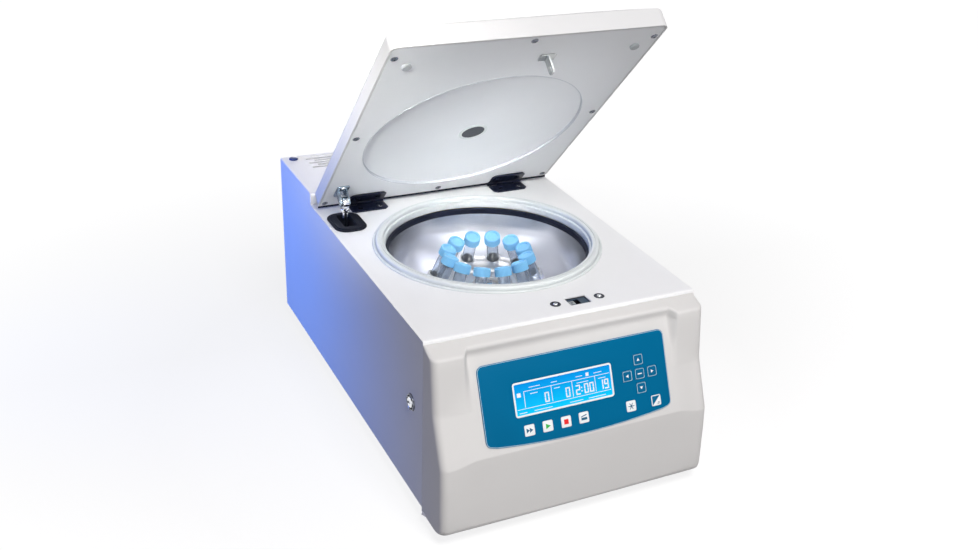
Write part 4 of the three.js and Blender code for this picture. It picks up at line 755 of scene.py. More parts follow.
@dataclass
class FrontMoulding:
    """Moulded front with two pillars, a sloping bed between them and a bowed belly."""

    wall_at: float = -0.2598
    front: float = -0.2595
    base: float = 0.022
    corner: float = 0.010
    wall: float = 0.003
    recess: float = 0.1360
    wall_run: float = 0.0105
    low_run: float = 0.038
    level: float = 0.163
    steady: float = 0.16
    rows: int = 5
    corner_steps: int = 8
    pillar_line: tuple[tuple[float, float, float], ...] = (
        (0.0003, -0.006, 0), (0.064, -0.006, 0.014), (0.0627, 0.060, 0.02), (0.0610, 0.0890, 0.014),
        (0.036, 0.150, 0.045), (0.0290, 0.2105, 0.004), (0.0275, 0.2195, 0.0060), (0.0026, 0.2275, 0.0012),
        (0.0003, 0.2275, 0))
    centre_line: tuple[tuple[float, float, float], ...] = (
        (0.0003, -0.006, 0), (0.064, -0.006, 0.014), (0.0627, 0.060, 0.02), (0.0626, 0.0972, 0.008),
        (0.0406, 0.150, 0.012), (0.0148, 0.2108, 0.013), (0.0180, 0.2228, 0.0055), (0.0026, 0.2275, 0.0012),
        (0.0003, 0.2275, 0))

    def line(self, corners: Sequence[tuple[float, float, float]]) -> Profile:
        """Return a side line with its rounds and extra points on its long runs."""
        points = rounded(corners, self.rows)
        full: Profile = []
        for before, after in zip(points, points[1:]):
            full += [(before[0] + (after[0] - before[0]) * step / 3, before[1] + (after[1] - before[1]) * step / 3)
                     for step in range(3)]
        return full + [points[-1]]

    def across(self) -> list[float]:
        """Return the places of the columns between the corner rounds."""
        right = [0.02 * step for step in range(1, 6)] + [0.112, 0.121, 0.1275, 0.1320, 0.1345]
        right += [self.recess + self.wall_run * step / 10 for step in range(11)]
        right += [0.1495, 0.153, 0.157, 0.162, 0.168, HALF_WIDTH - self.corner]
        return [-x for x in reversed(right)] + [0.0] + right

    def share_of_recess(self, x: float, height: float) -> float:
        """Return how far a place belongs to the recess, from 0 on a pillar to 1 between them."""
        sink = min(1.0, max(0.0, (self.level + 0.006 - height) / 0.016))
        run = self.wall_run + (self.low_run - self.wall_run) * sink * sink * (3 - 2 * sink)
        gap = min(1.0, max(0.0, (abs(x) - self.recess) / run))
        return 1.0 - gap * gap * (3 - 2 * gap)

    def place(self, column: int, row: int) -> Point:
        """Return one point of the moulding's face.

        Args:
            column: place across, with the corner rounds at both ends.
            row: place up the side line.

        Returns:
            The point in the row frame.
        """
        xs = self.across()
        steps = self.corner_steps
        pillar, centre = self.line(self.pillar_line), self.line(self.centre_line)
        index = min(max(column - steps - 2, 0), len(xs) - 1)
        share = self.share_of_recess(xs[index], pillar[row][1])
        reach = pillar[row][0] * (1 - share) + centre[row][0] * share
        height = self.base + pillar[row][1] * (1 - share) + centre[row][1] * share
        bow = 0.0012 * (1 - (xs[index] / HALF_WIDTH) ** 2) * max(0.0, min(1.0, (reach - 0.05) / 0.012))
        last = len(xs) + 2 * steps + 3
        side = -1 if column < steps + 2 else 1
        beyond = steps + 1 - column if side < 0 else column - (len(xs) + steps + 2)
        radius = min(self.corner, max(0.0004, reach * 0.9))
        if beyond < 0:
            return (self.narrowed(xs[index], radius), self.front - min(0.064, reach + bow), height)
        if column in (0, last):
            return (side * HALF_WIDTH, self.wall_at, height)
        turn = math.pi / 2 * min(1.0, (beyond + 1) / (steps + 1))
        return (side * (HALF_WIDTH - radius + radius * math.sin(turn)),
                min(self.wall_at, self.front - reach + radius * (1 - math.cos(turn))), height)

    def narrowed(self, x: float, radius: float) -> float:
        """Return a column's place where the corner round leaves it more or less room."""
        if abs(x) <= self.steady:
            return x
        room = (HALF_WIDTH - radius - self.steady) / (HALF_WIDTH - self.corner - self.steady)
        return math.copysign(self.steady + (abs(x) - self.steady) * room, x)

    def build(self) -> None:
        """Move a grid onto the moulding's face, then give it a wall and a display opening."""
        columns = len(self.across()) + 2 * self.corner_steps + 4
        rows = len(self.line(self.pillar_line))
        choose()
        bpy.ops.mesh.primitive_grid_add(x_subdivisions=columns - 1, y_subdivisions=rows - 1, size=1.0)
        made = named("front_moulding")
        for vert in made.data.vertices:
            column = round((vert.co.x + 0.5) * (columns - 1))
            row = round((vert.co.y + 0.5) * (rows - 1))
            vert.co = self.place(column, row)
        with editing(made):
            bpy.ops.mesh.remove_doubles(threshold=0.00002)
            bpy.ops.mesh.normals_make_consistent(inside=False)
        if sum(face.normal.y * face.area for face in made.data.polygons) > 0:
            with editing(made):
                bpy.ops.mesh.flip_normals()
        apply_modifier(made, "SOLIDIFY", thickness=self.wall, offset=-1.0, use_rim=True)
        drill(made, BED.slab("display_opening", DISPLAY_AT, *DISPLAY_OPENING, -0.03, 0.02, 0.002))
        dress(smooth(made, 40.0), MOULDING, Body.CABINET, "front_fascia")


# Control panel


@dataclass
class Bed:
    """Sloping face that carries the panel: x across, y up the slope, z outwards."""

    origin: Point = (0.0, -0.28, 0.2194)
    slope: float = math.atan2(38.5, 90.7)

    def matrix(self) -> Matrix:
        """Return the matrix from the bed to the row frame."""
        across = Vector((1.0, 0.0, 0.0))
        up = Vector((0.0, math.sin(self.slope), math.cos(self.slope)))
        out = across.cross(up)
        turn = Matrix((across, up, out)).transposed().to_4x4()
        return Matrix.Translation(self.origin) @ turn

    def slab(self, name: str, centre: Spot, width: float, length: float, low: float, high: float,
             corner: float) -> Thing:
        """Return a rounded rectangle lying on the bed between two heights."""
        return self.form(name, rectangle(centre, width / 2, length / 2, corner, 5), low, high)

    def form(self, name: str, outline: Profile, low: float, high: float) -> Thing:
        """Return an outline standing on the bed between two heights."""
        return moved(prism(name, outline, low, high), self.matrix())


BED = Bed()


class Sign(Enum):
    """Plain signs on the keys."""

    SPIN = "spin"
    START = "start"
    STOP = "stop"
    LID = "lid"
    COOL = "cool"
    PROGRAM = "program"
    UP = "up"
    LEFT = "left"
    SET = "set"
    RIGHT = "right"
    DOWN = "down"


@dataclass
class Key:
    """One membrane key with its printed sign."""

    node: str
    body: str
    x: float
    down: float
    sign: Sign
    white: bool = True
    size: float = 0.0134
    corner: float = 0.0018
    low: float = 0.00075
    high: float = 0.00185

    def outline(self) -> list[Profile]:
        """Return the outlines of the sign, across and up from the key's middle."""
        ring = [(0.0035 * math.cos(math.radians(a)), 0.0035 * math.sin(math.radians(a))) for a in range(0, 360, 60)]
        spokes = [[(x * 1.25 - y * 0.10, y * 1.25 + x * 0.10), (x * 1.25 + y * 0.10, y * 1.25 - x * 0.10),
                   (y * 0.16, -x * 0.16), (-y * 0.16, x * 0.16)] for x, y in ring]
        signs = {
            Sign.SPIN: [[(x - 0.0044, -0.003), (x, 0.0), (x - 0.0044, 0.003)] for x in (0.0, 0.0044)],
            Sign.START: [[(-0.0027, -0.0033), (0.0035, 0.0), (-0.0027, 0.0033)]],
            Sign.STOP: [corners_of(-0.003, -0.003, 0.003, 0.003)],
            Sign.LID: [corners_of(-0.004, -0.003, 0.004, 0.0),
                       [(-0.004, 0.0006), (0.004, 0.0026), (0.0036, 0.0038), (-0.004, 0.0018)]],
            Sign.COOL: spokes,
            Sign.PROGRAM: [[(-0.0046, 0.0006), (-0.0022, 0.003), (-0.0028, 0.0036), (-0.0052, 0.0012)],
                           corners_of(-0.001, 0.0044, 0.001, 0.0052), corners_of(0.0012, -0.0046, 0.0046, -0.0038),
                           corners_of(0.0024, -0.0030, 0.0046, -0.0022)],
            Sign.UP: [[(-0.0021, -0.0015), (0.0021, -0.0015), (0.0, 0.0021)]],
            Sign.DOWN: [[(-0.0021, 0.0015), (0.0, -0.0021), (0.0021, 0.0015)]],
            Sign.LEFT: [[(0.0015, -0.0021), (0.0015, 0.0021), (-0.0021, 0.0)]],
            Sign.RIGHT: [[(-0.0015, -0.0021), (0.0021, 0.0), (-0.0015, 0.0021)]],
            Sign.SET: [corners_of(-0.003, -0.0007, 0.003, 0.0007)],
        }
        return signs[self.sign]

    def ink(self) -> Finish:
        """Return the colour that the sign is printed in."""
        inks = {Sign.START: INK_GREEN, Sign.STOP: INK_RED}
        return inks.get(self.sign, INK_TEAL if self.white else WHITE_PRINT)

    def slab(self, name: str, share: float, low: float, high: float) -> Thing:
        """Return the key's square, or a share of it, between two heights."""
        side = self.size * share
        return BED.slab(f"{self.node}_{name}", (self.x, -self.down), side, side, low, high, self.corner)

    def marks(self, name: str, lines: Sequence[Profile], thick: float, ink: Finish) -> None:
        """Print outlines, given from the key's middle, on the key."""
        low = self.high - 0.00002
        forms = [BED.form("mark", [(self.x + x, y - self.down) for x, y in line], low, low + thick) for line in lines]
        dress(unite(f"{self.node}_{name}", forms), ink, self.body)

    def build(self) -> None:
        """Make the key, its outline where it is dark, and its sign."""
        cap = round_edges(self.slab("cap", 1.0, self.low, self.high), 0.0003, 2)
        dress(smooth(cap), KEY_WHITE if self.white else KEY_TEAL, self.body, self.node)
        if not self.white:
            rim = self.slab("rim", 0.93, self.high - 0.00002, self.high + 0.00004)
            dress(drill(rim, self.slab("inner", 0.86, self.high - 0.001, self.high + 0.001)), PALE_PRINT_AND_HIGHLIGHT, self.body)
        if self.sign is Sign.PROGRAM:
            half = self.size / 2 - 0.001
            self.marks("half", [[(-half, -half), (half, half), (-half, half)]], 0.00005, KEY_TEAL)
        self.marks("sign", self.outline(), 0.00007, self.ink())


@dataclass
class Display:
    """Backlit display with plain figures and dividing lines."""

    width: float = 0.135
    length: float = 0.042
    frame: float = 0.0022
    low: float = -0.0104
    high: float = 0.0016
    corner: float = 0.0036
    figure: float = 0.0120
    stroke: float = 0.0015
    segments: dict[str, str] = field(default_factory=lambda: {
        "0": "abcdef", "1": "bc", "2": "abged", "9": "abcdfg"})

    def face(self) -> float:
        """Return the height of the glass above the bed."""
        return self.high - 0.0007

    def bar(self, x0: float, y0: float, x1: float, y1: float) -> Thing:
        """Return a printed bar between two corners on the display."""
        low = self.face() - 0.00002
        across, up = DISPLAY_AT
        return BED.form("bar", corners_of(across + x0, up + y0, across + x1, up + y1), low, low + 0.00008)

    def digit(self, sign: str, x: float, y: float) -> list[Thing]:
        """Return the bars of one seven-bar figure whose lower left corner is at a place."""
        tall, wide, thick = self.figure, self.figure * 0.5, self.stroke
        gap = thick * 0.15
        bars = {
            "a": (gap, tall - thick, wide - gap, tall), "d": (gap, 0.0, wide - gap, thick),
            "g": (gap, tall / 2 - thick / 2, wide - gap, tall / 2 + thick / 2),
            "b": (wide - thick, tall / 2 + gap, wide, tall - gap), "c": (wide - thick, gap, wide, tall / 2 - gap),
            "e": (0.0, gap, thick, tall / 2 - gap), "f": (0.0, tall / 2 + gap, thick, tall - gap)}
        if sign == ":":
            return [self.bar(x, y + tall * share, x + thick, y + tall * share + thick) for share in (0.25, 0.6)]
        return [self.bar(x + bars[key][0], y + bars[key][1], x + bars[key][2], y + bars[key][3])
                for key in self.segments[sign]]

    def figures(self) -> list[Thing]:
        """Return every figure, divider and small dash on the display."""
        made = []
        for text, right in (("0", -0.0205), ("0", 0.0080), ("2:00", 0.0408), ("19", 0.0615)):
            x = right
            for sign in reversed(text):
                x -= self.stroke * 1.9 if sign == ":" else self.figure * 0.5
                made += self.digit(sign, x, -0.0096)
                x -= self.stroke * 0.9
        for x in (-0.0535, -0.0170, 0.0112, 0.0430):
            made.append(self.bar(x, -0.0105, x + 0.0007, 0.0085))
        made.append(self.bar(-0.0535, 0.0085, 0.0640, 0.0091))
        made.append(self.bar(-0.0640, -0.0122, 0.0640, -0.0116))
        made.append(self.bar(-0.0625, 0.0030, -0.0575, 0.0080))
        for x, y, run in ((-0.0460, 0.0122, 0.0150), (-0.0160, 0.0122, 0.0080), (0.0175, 0.0122, 0.0090),
                          (0.0425, 0.0122, 0.0110), (-0.0450, 0.0044, 0.0100), (-0.0130, 0.0044, 0.0080),
                          (0.0180, 0.0044, 0.0160), (0.0480, 0.0044, 0.0100), (-0.0620, -0.0168, 0.0100),
                          (-0.0420, -0.0168, 0.0240), (0.0060, -0.0168, 0.0180), (0.0320, -0.0168, 0.0240)):
            made.append(self.bar(x, y, x + run, y + 0.0007))
        made.append(self.bar(0.0315, 0.0108, 0.0355, 0.0150))
        return made

    def build(self) -> None:
        """Make the display's body, its pale frame, its lit face and its figures."""
        body = self.slab("display_body", 0.0, self.low, self.high - 0.0011)
        dress(smooth(body), PLASTIC, Body.CABINET, "display_module")
        rim = self.slab("display_frame", 0.0, self.high - 0.0011, self.high)
        drill(rim, self.slab("inner", self.frame, self.high - 0.004, self.high + 0.002))
        dress(smooth(round_edges(rim, 0.0002, 2)), WHITE_PRINT, Body.CABINET)
        low, top = (BED.matrix() @ Vector((0, DISPLAY_AT[1] + side * self.length / 2, 0)) for side in (-1, 1))
        lit = DisplayFinish("lit_display", Slot.DISPLAY, (0.0, 0.24, 0.68), 0.3, top_height=top.z,
                            bottom_height=low.z, lower_colour=(0.002, 0.52, 0.86), glow=0.18, specular=0.1)
        dress(self.slab("display_face", self.frame, self.high - 0.0012, self.face()), lit, Body.CABINET)
        dress(unite("display_figures", self.figures()), WHITE_PRINT, Body.CABINET)

    def slab(self, name: str, inset: float, low: float, high: float) -> Thing:
        """Return the display's rectangle, drawn in by an inset, between two heights."""
        return BED.slab(name, DISPLAY_AT, self.width - 2 * inset, self.length - 2 * inset, low, high,
                        self.corner - inset)


@dataclass
class ControlPanel:
    """Printed film with its display and eleven keys."""

    width: float = 0.256
    length: float = 0.0985
    sag: float = 0.0085
    corner: float = 0.008
    thickness: float = 0.0016
    low: float = 0.0003
    row: float = 0.0877
    arrows: tuple[float, float] = (0.0879, 0.050)
    pitch: float = 0.0178

    def keys(self) -> list[Key]:
        """Return the keys in their places."""
        across, down = self.arrows
        return [
            Key("key_short_spin", "button_short_spin", -0.0703, self.row, Sign.SPIN),
            Key("key_start", "button_start", -0.0459, self.row, Sign.START),
            Key("key_stop", "button_stop", -0.0210, self.row, Sign.STOP),
            Key("key_lid", "button_lid", 0.0034, self.row, Sign.LID),
            Key("key_precool", "button_precool", 0.0704, self.row, Sign.COOL),
            Key("key_program", "button_program", 0.1067, self.row, Sign.PROGRAM),
            Key("key_up", "button_up", across, down - self.pitch, Sign.UP, False),
            Key("key_left", "button_left", across - self.pitch, down, Sign.LEFT, False),
            Key("key_set", "button_set", across, down, Sign.SET, False),
            Key("key_right", "button_right", across + self.pitch, down, Sign.RIGHT, False),
            Key("key_down", "button_down", across, down + self.pitch, Sign.DOWN, False),
        ]

    def outline(self, inset: float = 0.0) -> Profile:
        """Return the film's outline, its lower edge bowed downwards."""
        half = self.width / 2 - inset
        corner = self.corner - inset
        radius = (half ** 2 + self.sag ** 2) / (2 * self.sag)
        swing = math.degrees(math.asin((half - corner) / radius))
        low = self.corner - self.length
        line = arc((half - corner, -inset - corner), corner, 0, 90, 6)
        line += arc((corner - half, -inset - corner), corner, 90, 180, 6)
        line += arc((corner - half, low), corner, 180, 270 - swing, 6)
        middle_y = radius - self.length - self.sag + inset
        line += arc((0.0, middle_y), radius, 270 - swing, 270 + swing, 48)[1:-1]
        line += arc((half - corner, low), corner, 270 + swing, 360, 6)
        return line

    def film(self) -> None:
        """Make the printed film with its openings, and a pale line round its edge that paints the edge's highlight."""
        film = round_edges(BED.form("control_film", self.outline(), self.low, self.thickness), 0.0004, 2)
        low = self.thickness - 0.00002
        # A pale line just inside the film's edge: painted highlight along the edge.
        edge_highlight = BED.form("film_edge_highlight", self.outline(0.0006), low, low + 0.00006)
        drill(edge_highlight, BED.form("inner", self.outline(0.0011), 0.0, 0.004))
        cutters = [BED.slab("cut", DISPLAY_AT, *DISPLAY_OPENING, -0.01, 0.01, 0.0038)]
        cutters += [BED.slab("cut", (key.x, -key.down), key.size + 0.0006, key.size + 0.0006, -0.01, 0.01, key.corner)
                    for key in self.keys()]
        drill(film, *cutters)
        dress(smooth(film), OVERLAY, Body.CABINET, "control_overlay")
        dress(edge_highlight, PALE_PRINT_AND_HIGHLIGHT, Body.CABINET)

    def build(self) -> None:
        """Make the film, the display and the keys."""
        self.film()
        Display().build()
        for key in self.keys():
            key.build()


# Chamber and rotor


@dataclass
class Chamber:
    """Polished bowl, its seal and a black ring under the seal that paints the shade in the gap between them."""

    radius: float = 0.135
    wall: float = 0.0012
    rim: float = 0.245
    rim_width: float = 0.0065
    floor: float = 0.112
    floor_round: float = 0.026
    collar: float = 0.020
    collar_height: float = 0.010

    def bowl(self) -> None:
        """Spin the bowl with its rolled rim and its collar."""
        across, turn_z = self.radius - self.floor_round, self.floor + self.floor_round
        inside = arc((across, turn_z), self.floor_round, 0, -90, 14)
        outside = arc((across, turn_z), self.floor_round + self.wall, -90, 0, 14)
        line = [(self.collar - self.wall, self.floor - self.wall)] + outside
        line += [(self.radius + self.wall, self.rim - self.wall),
                 (self.radius + self.rim_width, self.rim - self.wall), (self.radius + self.rim_width, self.rim)]
        line += arc((self.radius + self.wall * 1.5, self.rim - self.wall * 1.5), self.wall * 1.5, 90, 180, 5)
        line += inside + [(self.collar + 0.001, self.floor)]
        line += arc((self.collar - self.wall / 2, self.floor + self.collar_height), self.wall / 2, 0, 180, 4)
        made = turned("bowl_spun", line, BOWL_CENTRE, 160, closed=True)
        dress(smooth(made, 40), STAINLESS, Body.CABINET, "bowl")

    def seal(self) -> None:
        """Spin the seal with its flange, its ridged bead and its lip."""
        line = [(0.1434, 0.0003), (0.1560, 0.0003)] + arc((0.1545, 0.0013), 0.0014, 0, 90, 5)
        line += [(0.1534, 0.0027), (0.1531, 0.0008), (0.1521, 0.0008), (0.1518, 0.0036)]
        line += arc((0.1488, 0.0048), 0.0030, 0, 85, 6)
        line += [(0.1472, 0.0078), (0.1469, 0.0066), (0.1461, 0.0066), (0.1458, 0.0078)]
        line += arc((0.1440, 0.0050), 0.0028, 95, 175, 6)
        line += [(0.1410, 0.0036), (0.1414, 0.0028), (0.1414, 0.0018), (0.1400, 0.0014)]
        line += arc((0.1396, 0.0004), 0.0010, 90, 180, 4)
        line += [(0.1386, -0.0070), (0.1392, -0.0075), (0.1434, -0.0075)]
        made = turned("chamber_seal", line, (*BOWL_CENTRE[:2], DECK), 160, closed=True)
        dress(smooth(made, 48), SEAL, Body.CABINET, "bowl_gasket")

    def band(self) -> None:
        """Spin a black ring between the seal and the bowl, which paints the shade in the gap there."""
        line = [(0.1346, self.rim - 0.0062), (0.1349, self.rim - 0.0070), (0.1349, self.rim + 0.0012),
                (0.1384, self.rim + 0.0012), (0.1384, self.rim + 0.0004), (0.1346, self.rim + 0.0002)]
        dress(smooth(turned("chamber_shade_band", line, BOWL_CENTRE, 128, closed=True)), PAINTED_SHADE_BAND, Body.CABINET)

    def build(self) -> None:
        """Make the chamber's pieces."""
        self.bowl()
        self.seal()
        self.band()


@dataclass
class RotorSet:
    """Angle rotor with twelve capped tubes and its nut."""

    stations: int = 12
    first: float = 87.9
    tilt: float = 23.5
    mouth_circle: float = 0.0703
    mouth_z: float = 0.1988
    top: float = 0.1948
    base: float = 0.1273
    skirt: float = 0.112
    rim: float = 0.084
    dish: float = 0.040
    dish_drop: float = 0.003
    bush: float = 0.0115
    tube: float = 0.0083
    tube_length: float = 0.100
    cone: float = 0.022
    tip: float = 0.0025
    cap: float = 0.0114
    cap_height: float = 0.012
    cap_above: float = 0.045
    cap_turn: float = 1.7
    ribs: int = 40

    def station(self, index: int) -> Matrix:
        """Return the matrix of one station: its mouth at the origin and its tube up Z."""
        turn = math.radians(self.first - index * 360 / self.stations)
        return (Matrix.Translation(BOWL_CENTRE) @ Matrix.Rotation(turn, 4, "Z")
                @ Matrix.Translation((self.mouth_circle, 0.0, self.mouth_z))
                @ Matrix.Rotation(-math.radians(self.tilt), 4, "Y"))

    def body(self) -> None:
        """Spin the rotor and drill its twelve inclined pockets."""
        top, dish_z = self.top, self.top - self.dish_drop
        low = self.top - 0.065
        line = [(0.0078, self.base), (0.021, self.base), (0.021, self.base + 0.026), (0.042, self.base + 0.026),
                (self.skirt - 0.020, low), (self.skirt - 0.003, low)]
        line += arc((self.skirt - 0.003, low + 0.0036), 0.0030, -60, 20, 5)
        line += arc((self.rim - 0.0035, top - 0.0060), 0.0060, 24, 90, 8)
        line += [(self.rim - 0.012, top - 0.0002), (self.rim - 0.014, top - 0.0008), (self.rim - 0.016, top - 0.0002)]
        line += [(self.dish + 0.0004, top), (self.dish - 0.0004, top - 0.0004), (self.dish - self.dish_drop, dish_z),
                 (0.0194, dish_z), (0.019, dish_z - 0.0005), (0.019, dish_z - 0.007), (0.0078, dish_z - 0.007)]
        made = turned("rotor_turned", line, BOWL_CENTRE, 144, closed=True)
        bush = round_picked(rod("bush", self.bush, (0.0, 0.0, -0.009), 0.009, Axis.Z, 40),
                            lambda edge: middle(edge).z > -0.0001, 0.0008, 3)
        combine(made, "UNION", unite("bushes", self.at_stations(bush)))
        bottom = self.cap_above - self.cap_height - self.tube_length - 0.0004
        inner, mouth = self.tube + 0.0004, self.tube + 0.0012
        pocket = turned("pocket", [(0.0, bottom), (self.tip + 0.0004, bottom), (inner, bottom + self.cone),
                                   (inner, -0.0006), (mouth, 0.0002), (mouth, 0.02), (0.0, 0.02)], steps=40)
        drill(made, *self.at_stations(pocket))
        dress(smooth(made, 30), ALUMINIUM, Body.ROTOR, "rotor_body")

    def at_stations(self, form: Thing) -> list[Thing]:
        """Return a copy of a form at every station, and throw the form away."""
        made = [twin(form, self.station(index)) for index in range(self.stations)]
        bpy.data.objects.remove(form)
        return made

    def nut(self) -> None:
        """Spin the rotor nut and cut its key socket."""
        low = self.top - self.dish_drop - 0.0067
        line = [(0.0, low), (0.0155, low), (0.016, low + 0.0005), (0.016, low + 0.0025), (0.0155, low + 0.003),
                (0.0100, low + 0.003), (0.0095, low + 0.0035)]
        line += arc((0.0083, low + 0.0073), 0.0012, 0, 90, 4) + [(0.0, low + 0.0085)]
        nut = turned("rotor_nut_turned", line, BOWL_CENTRE, 64)
        drill(nut, rod("socket", 0.004, (*BOWL_CENTRE[:2], low + 0.0045), 0.01, Axis.Z, 6))
        dress(smooth(nut), CHROME, Body.ROTOR, "rotor_nut")

    def cap_form(self) -> Thing:
        """Return one ribbed screw cap with a raised ring on its top."""
        low, high = self.cap_above - self.cap_height, self.cap_above
        inner = self.tube + 0.0003
        line = [(0.0, high - 0.0016), (self.cap - 0.0040, high - 0.0016), (self.cap - 0.0034, high - 0.0004)]
        line += [(self.cap - 0.0028, high), (self.cap - 0.0012, high), (self.cap - 0.0003, high - 0.0008)]
        line += [(self.cap, high - 0.0018), (self.cap, low + 0.0008), (self.cap - 0.0004, low), (inner, low),
                 (inner, high - 0.003), (0.0, high - 0.003)]
        made = turned("cap", line[::-1], steps=self.ribs * 3)
        for vert in made.data.vertices:
            radius = math.hypot(vert.co.x, vert.co.y)
            step = round(math.degrees(math.atan2(vert.co.y, vert.co.x)) / (120 / self.ribs)) % 3
            if step == 0 and radius > self.cap - 0.0001 and low < vert.co.z < high:
                vert.co.x *= 1 - 0.00055 / radius
                vert.co.y *= 1 - 0.00055 / radius
        return smooth(made, 25)

    def tube_form(self) -> Thing:
        """Return one clear tube with a wall and a cone at its foot."""
        neck = self.cap_above - 0.0034
        tip = self.cap_above - self.cap_height - self.tube_length
        wall = 0.0009
        line = [(0.0, tip), (self.tip, tip + 0.0003), (self.tube, tip + self.cone), (self.tube, neck),
                (self.tube - wall, neck), (self.tube - wall, tip + self.cone + wall), (self.tip, tip + 0.003),
                (0.0, tip + 0.003)]
        return smooth(turned("tube", line, steps=40), 40)

    def tubes(self) -> None:
        """Set a capped tube at every station."""
        cap_form, tube_form = self.cap_form(), self.tube_form()
        for index in range(self.stations):
            solid = f"tube_{index + 1:02d}"
            tube = twin(tube_form, self.station(index))
            cap = twin(cap_form, self.station(index) @ Matrix.Rotation(index * self.cap_turn, 4, "Z"))
            tube.name, cap.name = f"{solid}_clear", f"{solid}_cap"
            dress(tube, TUBE, Body.ROTOR)
            dress(cap, CAP, Body.ROTOR, solid)
        for form in (cap_form, tube_form):
            bpy.data.objects.remove(form)

    def build(self) -> None:
        """Make the rotor, its nut and its tubes."""
        self.body()
        self.nut()
        self.tubes()


# Lid and its hardware


def lid_frame() -> Matrix:
    """Return the matrix of the open lid: its hinge line at the origin, its underside at z 0."""
    return Matrix.Translation(HINGE_LINE) @ Matrix.Rotation(-math.radians(LID_OPEN), 4, "X")


def under_lid(x: float, y: float, z: float) -> Matrix:
    """Return the seat of a screw that stands out of the lid's underside."""
    return lid_frame() @ Matrix.Translation((x, y, z)) @ Matrix.Rotation(math.pi, 4, "X")


@dataclass
class Lid:
    """Crowned lid with its liner, its sight glass, pads and screws."""

    width: float = 0.3644
    length: float = 0.432
    height: float = 0.0245
    crown: float = 0.004
    wall: float = 0.003
    shoulder: float = 0.009
    front_round: float = 0.005
    rear_round: float = 0.009
    plan_corner: float = 0.010
    dish: float = 0.153
    dish_depth: float = 0.0037
    dish_y: float = -0.1838
    port: float = 0.0172
    port_rim: float = 0.0202
    hinge_x: float = 0.111
    hinge_width: float = 0.054

    def plan(self, name: str, inset: float, low: float, high: float) -> Thing:
        """Return the lid's plan as a slab between two heights."""
        line = rectangle((0.0, -self.length / 2), self.width / 2 - inset, self.length / 2 - inset,
                         self.plan_corner - inset, 6)
        return prism(name, line, low, high)

    def port_cutter(self) -> Thing:
        """Return the cutter of the hole for the sight glass."""
        return rod("port", self.port + 0.0003, (0.0, self.dish_y, -0.01), 0.05, Axis.Z, 64)

    def front_line(self) -> Profile:
        """Return the front view with its crown and rounded shoulders."""
        half = self.width / 2
        flat = half - self.shoulder
        line = [(-half, -0.01), (half, -0.01)] + arc((flat, self.height - self.shoulder), self.shoulder, 0, 88, 8)
        shares = [1 - 2 * step / 24 for step in range(1, 24)]
        line += [(flat * share, self.height + self.crown * (1 - share ** 2)) for share in shares]
        return line + arc((-flat, self.height - self.shoulder), self.shoulder, 92, 180, 8)

    def side_line(self) -> Profile:
        """Return the side view with its front and rear rounds."""
        top = self.height + self.crown
        line = [(-self.length, -0.01), (0.0, -0.01)]
        line += arc((-self.rear_round, top - self.rear_round), self.rear_round, 0, 90, 8)
        return line + arc((self.front_round - self.length, top - self.front_round), self.front_round, 90, 180, 7)

    def pockets(self) -> list[Thing]:
        """Return the cutters that clear the hinge knuckles."""
        half = self.hinge_width / 2 + 0.0005
        return [block("pocket", (side * self.hinge_x - half, -0.006, -0.01), (side * self.hinge_x + half, 0.01, 0.005))
                for side in (-1, 1)]

    def place(self, thing: Thing, finish: Finish, *nodes: str) -> Thing:
        """Carry a piece from the shut lid's frame to the open lid and finish it."""
        return dress(moved(thing, lid_frame()), finish, Body.LID, *nodes)

    def cover(self) -> None:
        """Cut the cover's outside from three views and hollow it."""
        made = self.plan("lid_cover_form", 0.0, 0.0, self.height + self.crown)
        combine(made, "INTERSECT", prism("front", self.front_line(), -0.46, 0.04, Axis.Y))
        combine(made, "INTERSECT", prism("side", self.side_line(), -0.2, 0.2, Axis.X))
        for y in (self.dish_y - 1.5 * self.port, self.dish_y + 1.5 * self.port):
            with editing(made):
                bpy.ops.mesh.bisect(plane_co=(0.0, y, 0.0), plane_no=(0.0, 1.0, 0.0))
        drill(made, self.plan("hollow", self.wall, -0.01, self.height - self.wall))
        drill(made, self.port_cutter())
        drill(made, *self.pockets())
        apply_modifier(smooth(made, 24), "WEIGHTED_NORMAL", keep_sharp=True)
        self.place(made, SHADED_LID_POWDER, "lid_cover")

    def liner(self) -> None:
        """Form the liner with its round recess."""
        made = self.plan("lid_liner_form", self.wall + 0.0005, 0.0, 0.0025)
        combine(made, "UNION", rod("disc", self.dish + 0.0025, (0.0, self.dish_y, 0.0), 0.0075, Axis.Z, 128))
        drill(made, rod("dish", self.dish, (0.0, self.dish_y, -0.01), 0.01 + self.dish_depth, Axis.Z, 128))
        round_picked(made, self.on_dish_edge, 0.0008, 3)
        drill(made, self.port_cutter())
        drill(made, *self.pockets())
        self.place(smooth(made, 40), LINER, "lid_liner")

    def on_dish_edge(self, edge: bmesh.types.BMEdge) -> bool:
        """Tell whether an edge runs level along the side of the round recess."""
        level = abs(edge.verts[0].co.z - edge.verts[1].co.z) < 0.0001
        return level and all(abs(math.hypot(vert.co.x, vert.co.y - self.dish_y) - self.dish) < 0.0002
                             for vert in edge.verts)

    def sight_glass(self) -> None:
        """Make the window through the lid and its rim."""
        low, top = self.dish_depth - 0.0017, self.height + self.crown + 0.0006
        rim = [(self.port - 0.0012, low + 0.0004), (self.port - 0.0006, low), (self.port_rim - 0.0006, low),
               (self.port_rim, low + 0.0006), (self.port_rim, low + 0.0013), (self.port, low + 0.0013),
               (self.port, top), (self.port - 0.0012, top)]
        axis = (0.0, self.dish_y, 0.0)
        ring = turned("sight_rim", rim, axis, 72, closed=True)
        self.place(smooth(ring), SEAL)
        window = turned("sight_window", [(0.0, low + 0.0006), (self.port - 0.0013, low + 0.0006),
                                         (self.port - 0.0013, top - 0.0002), (0.0, top)], axis, 64)
        self.place(smooth(window), SMOKED, "sight_glass")

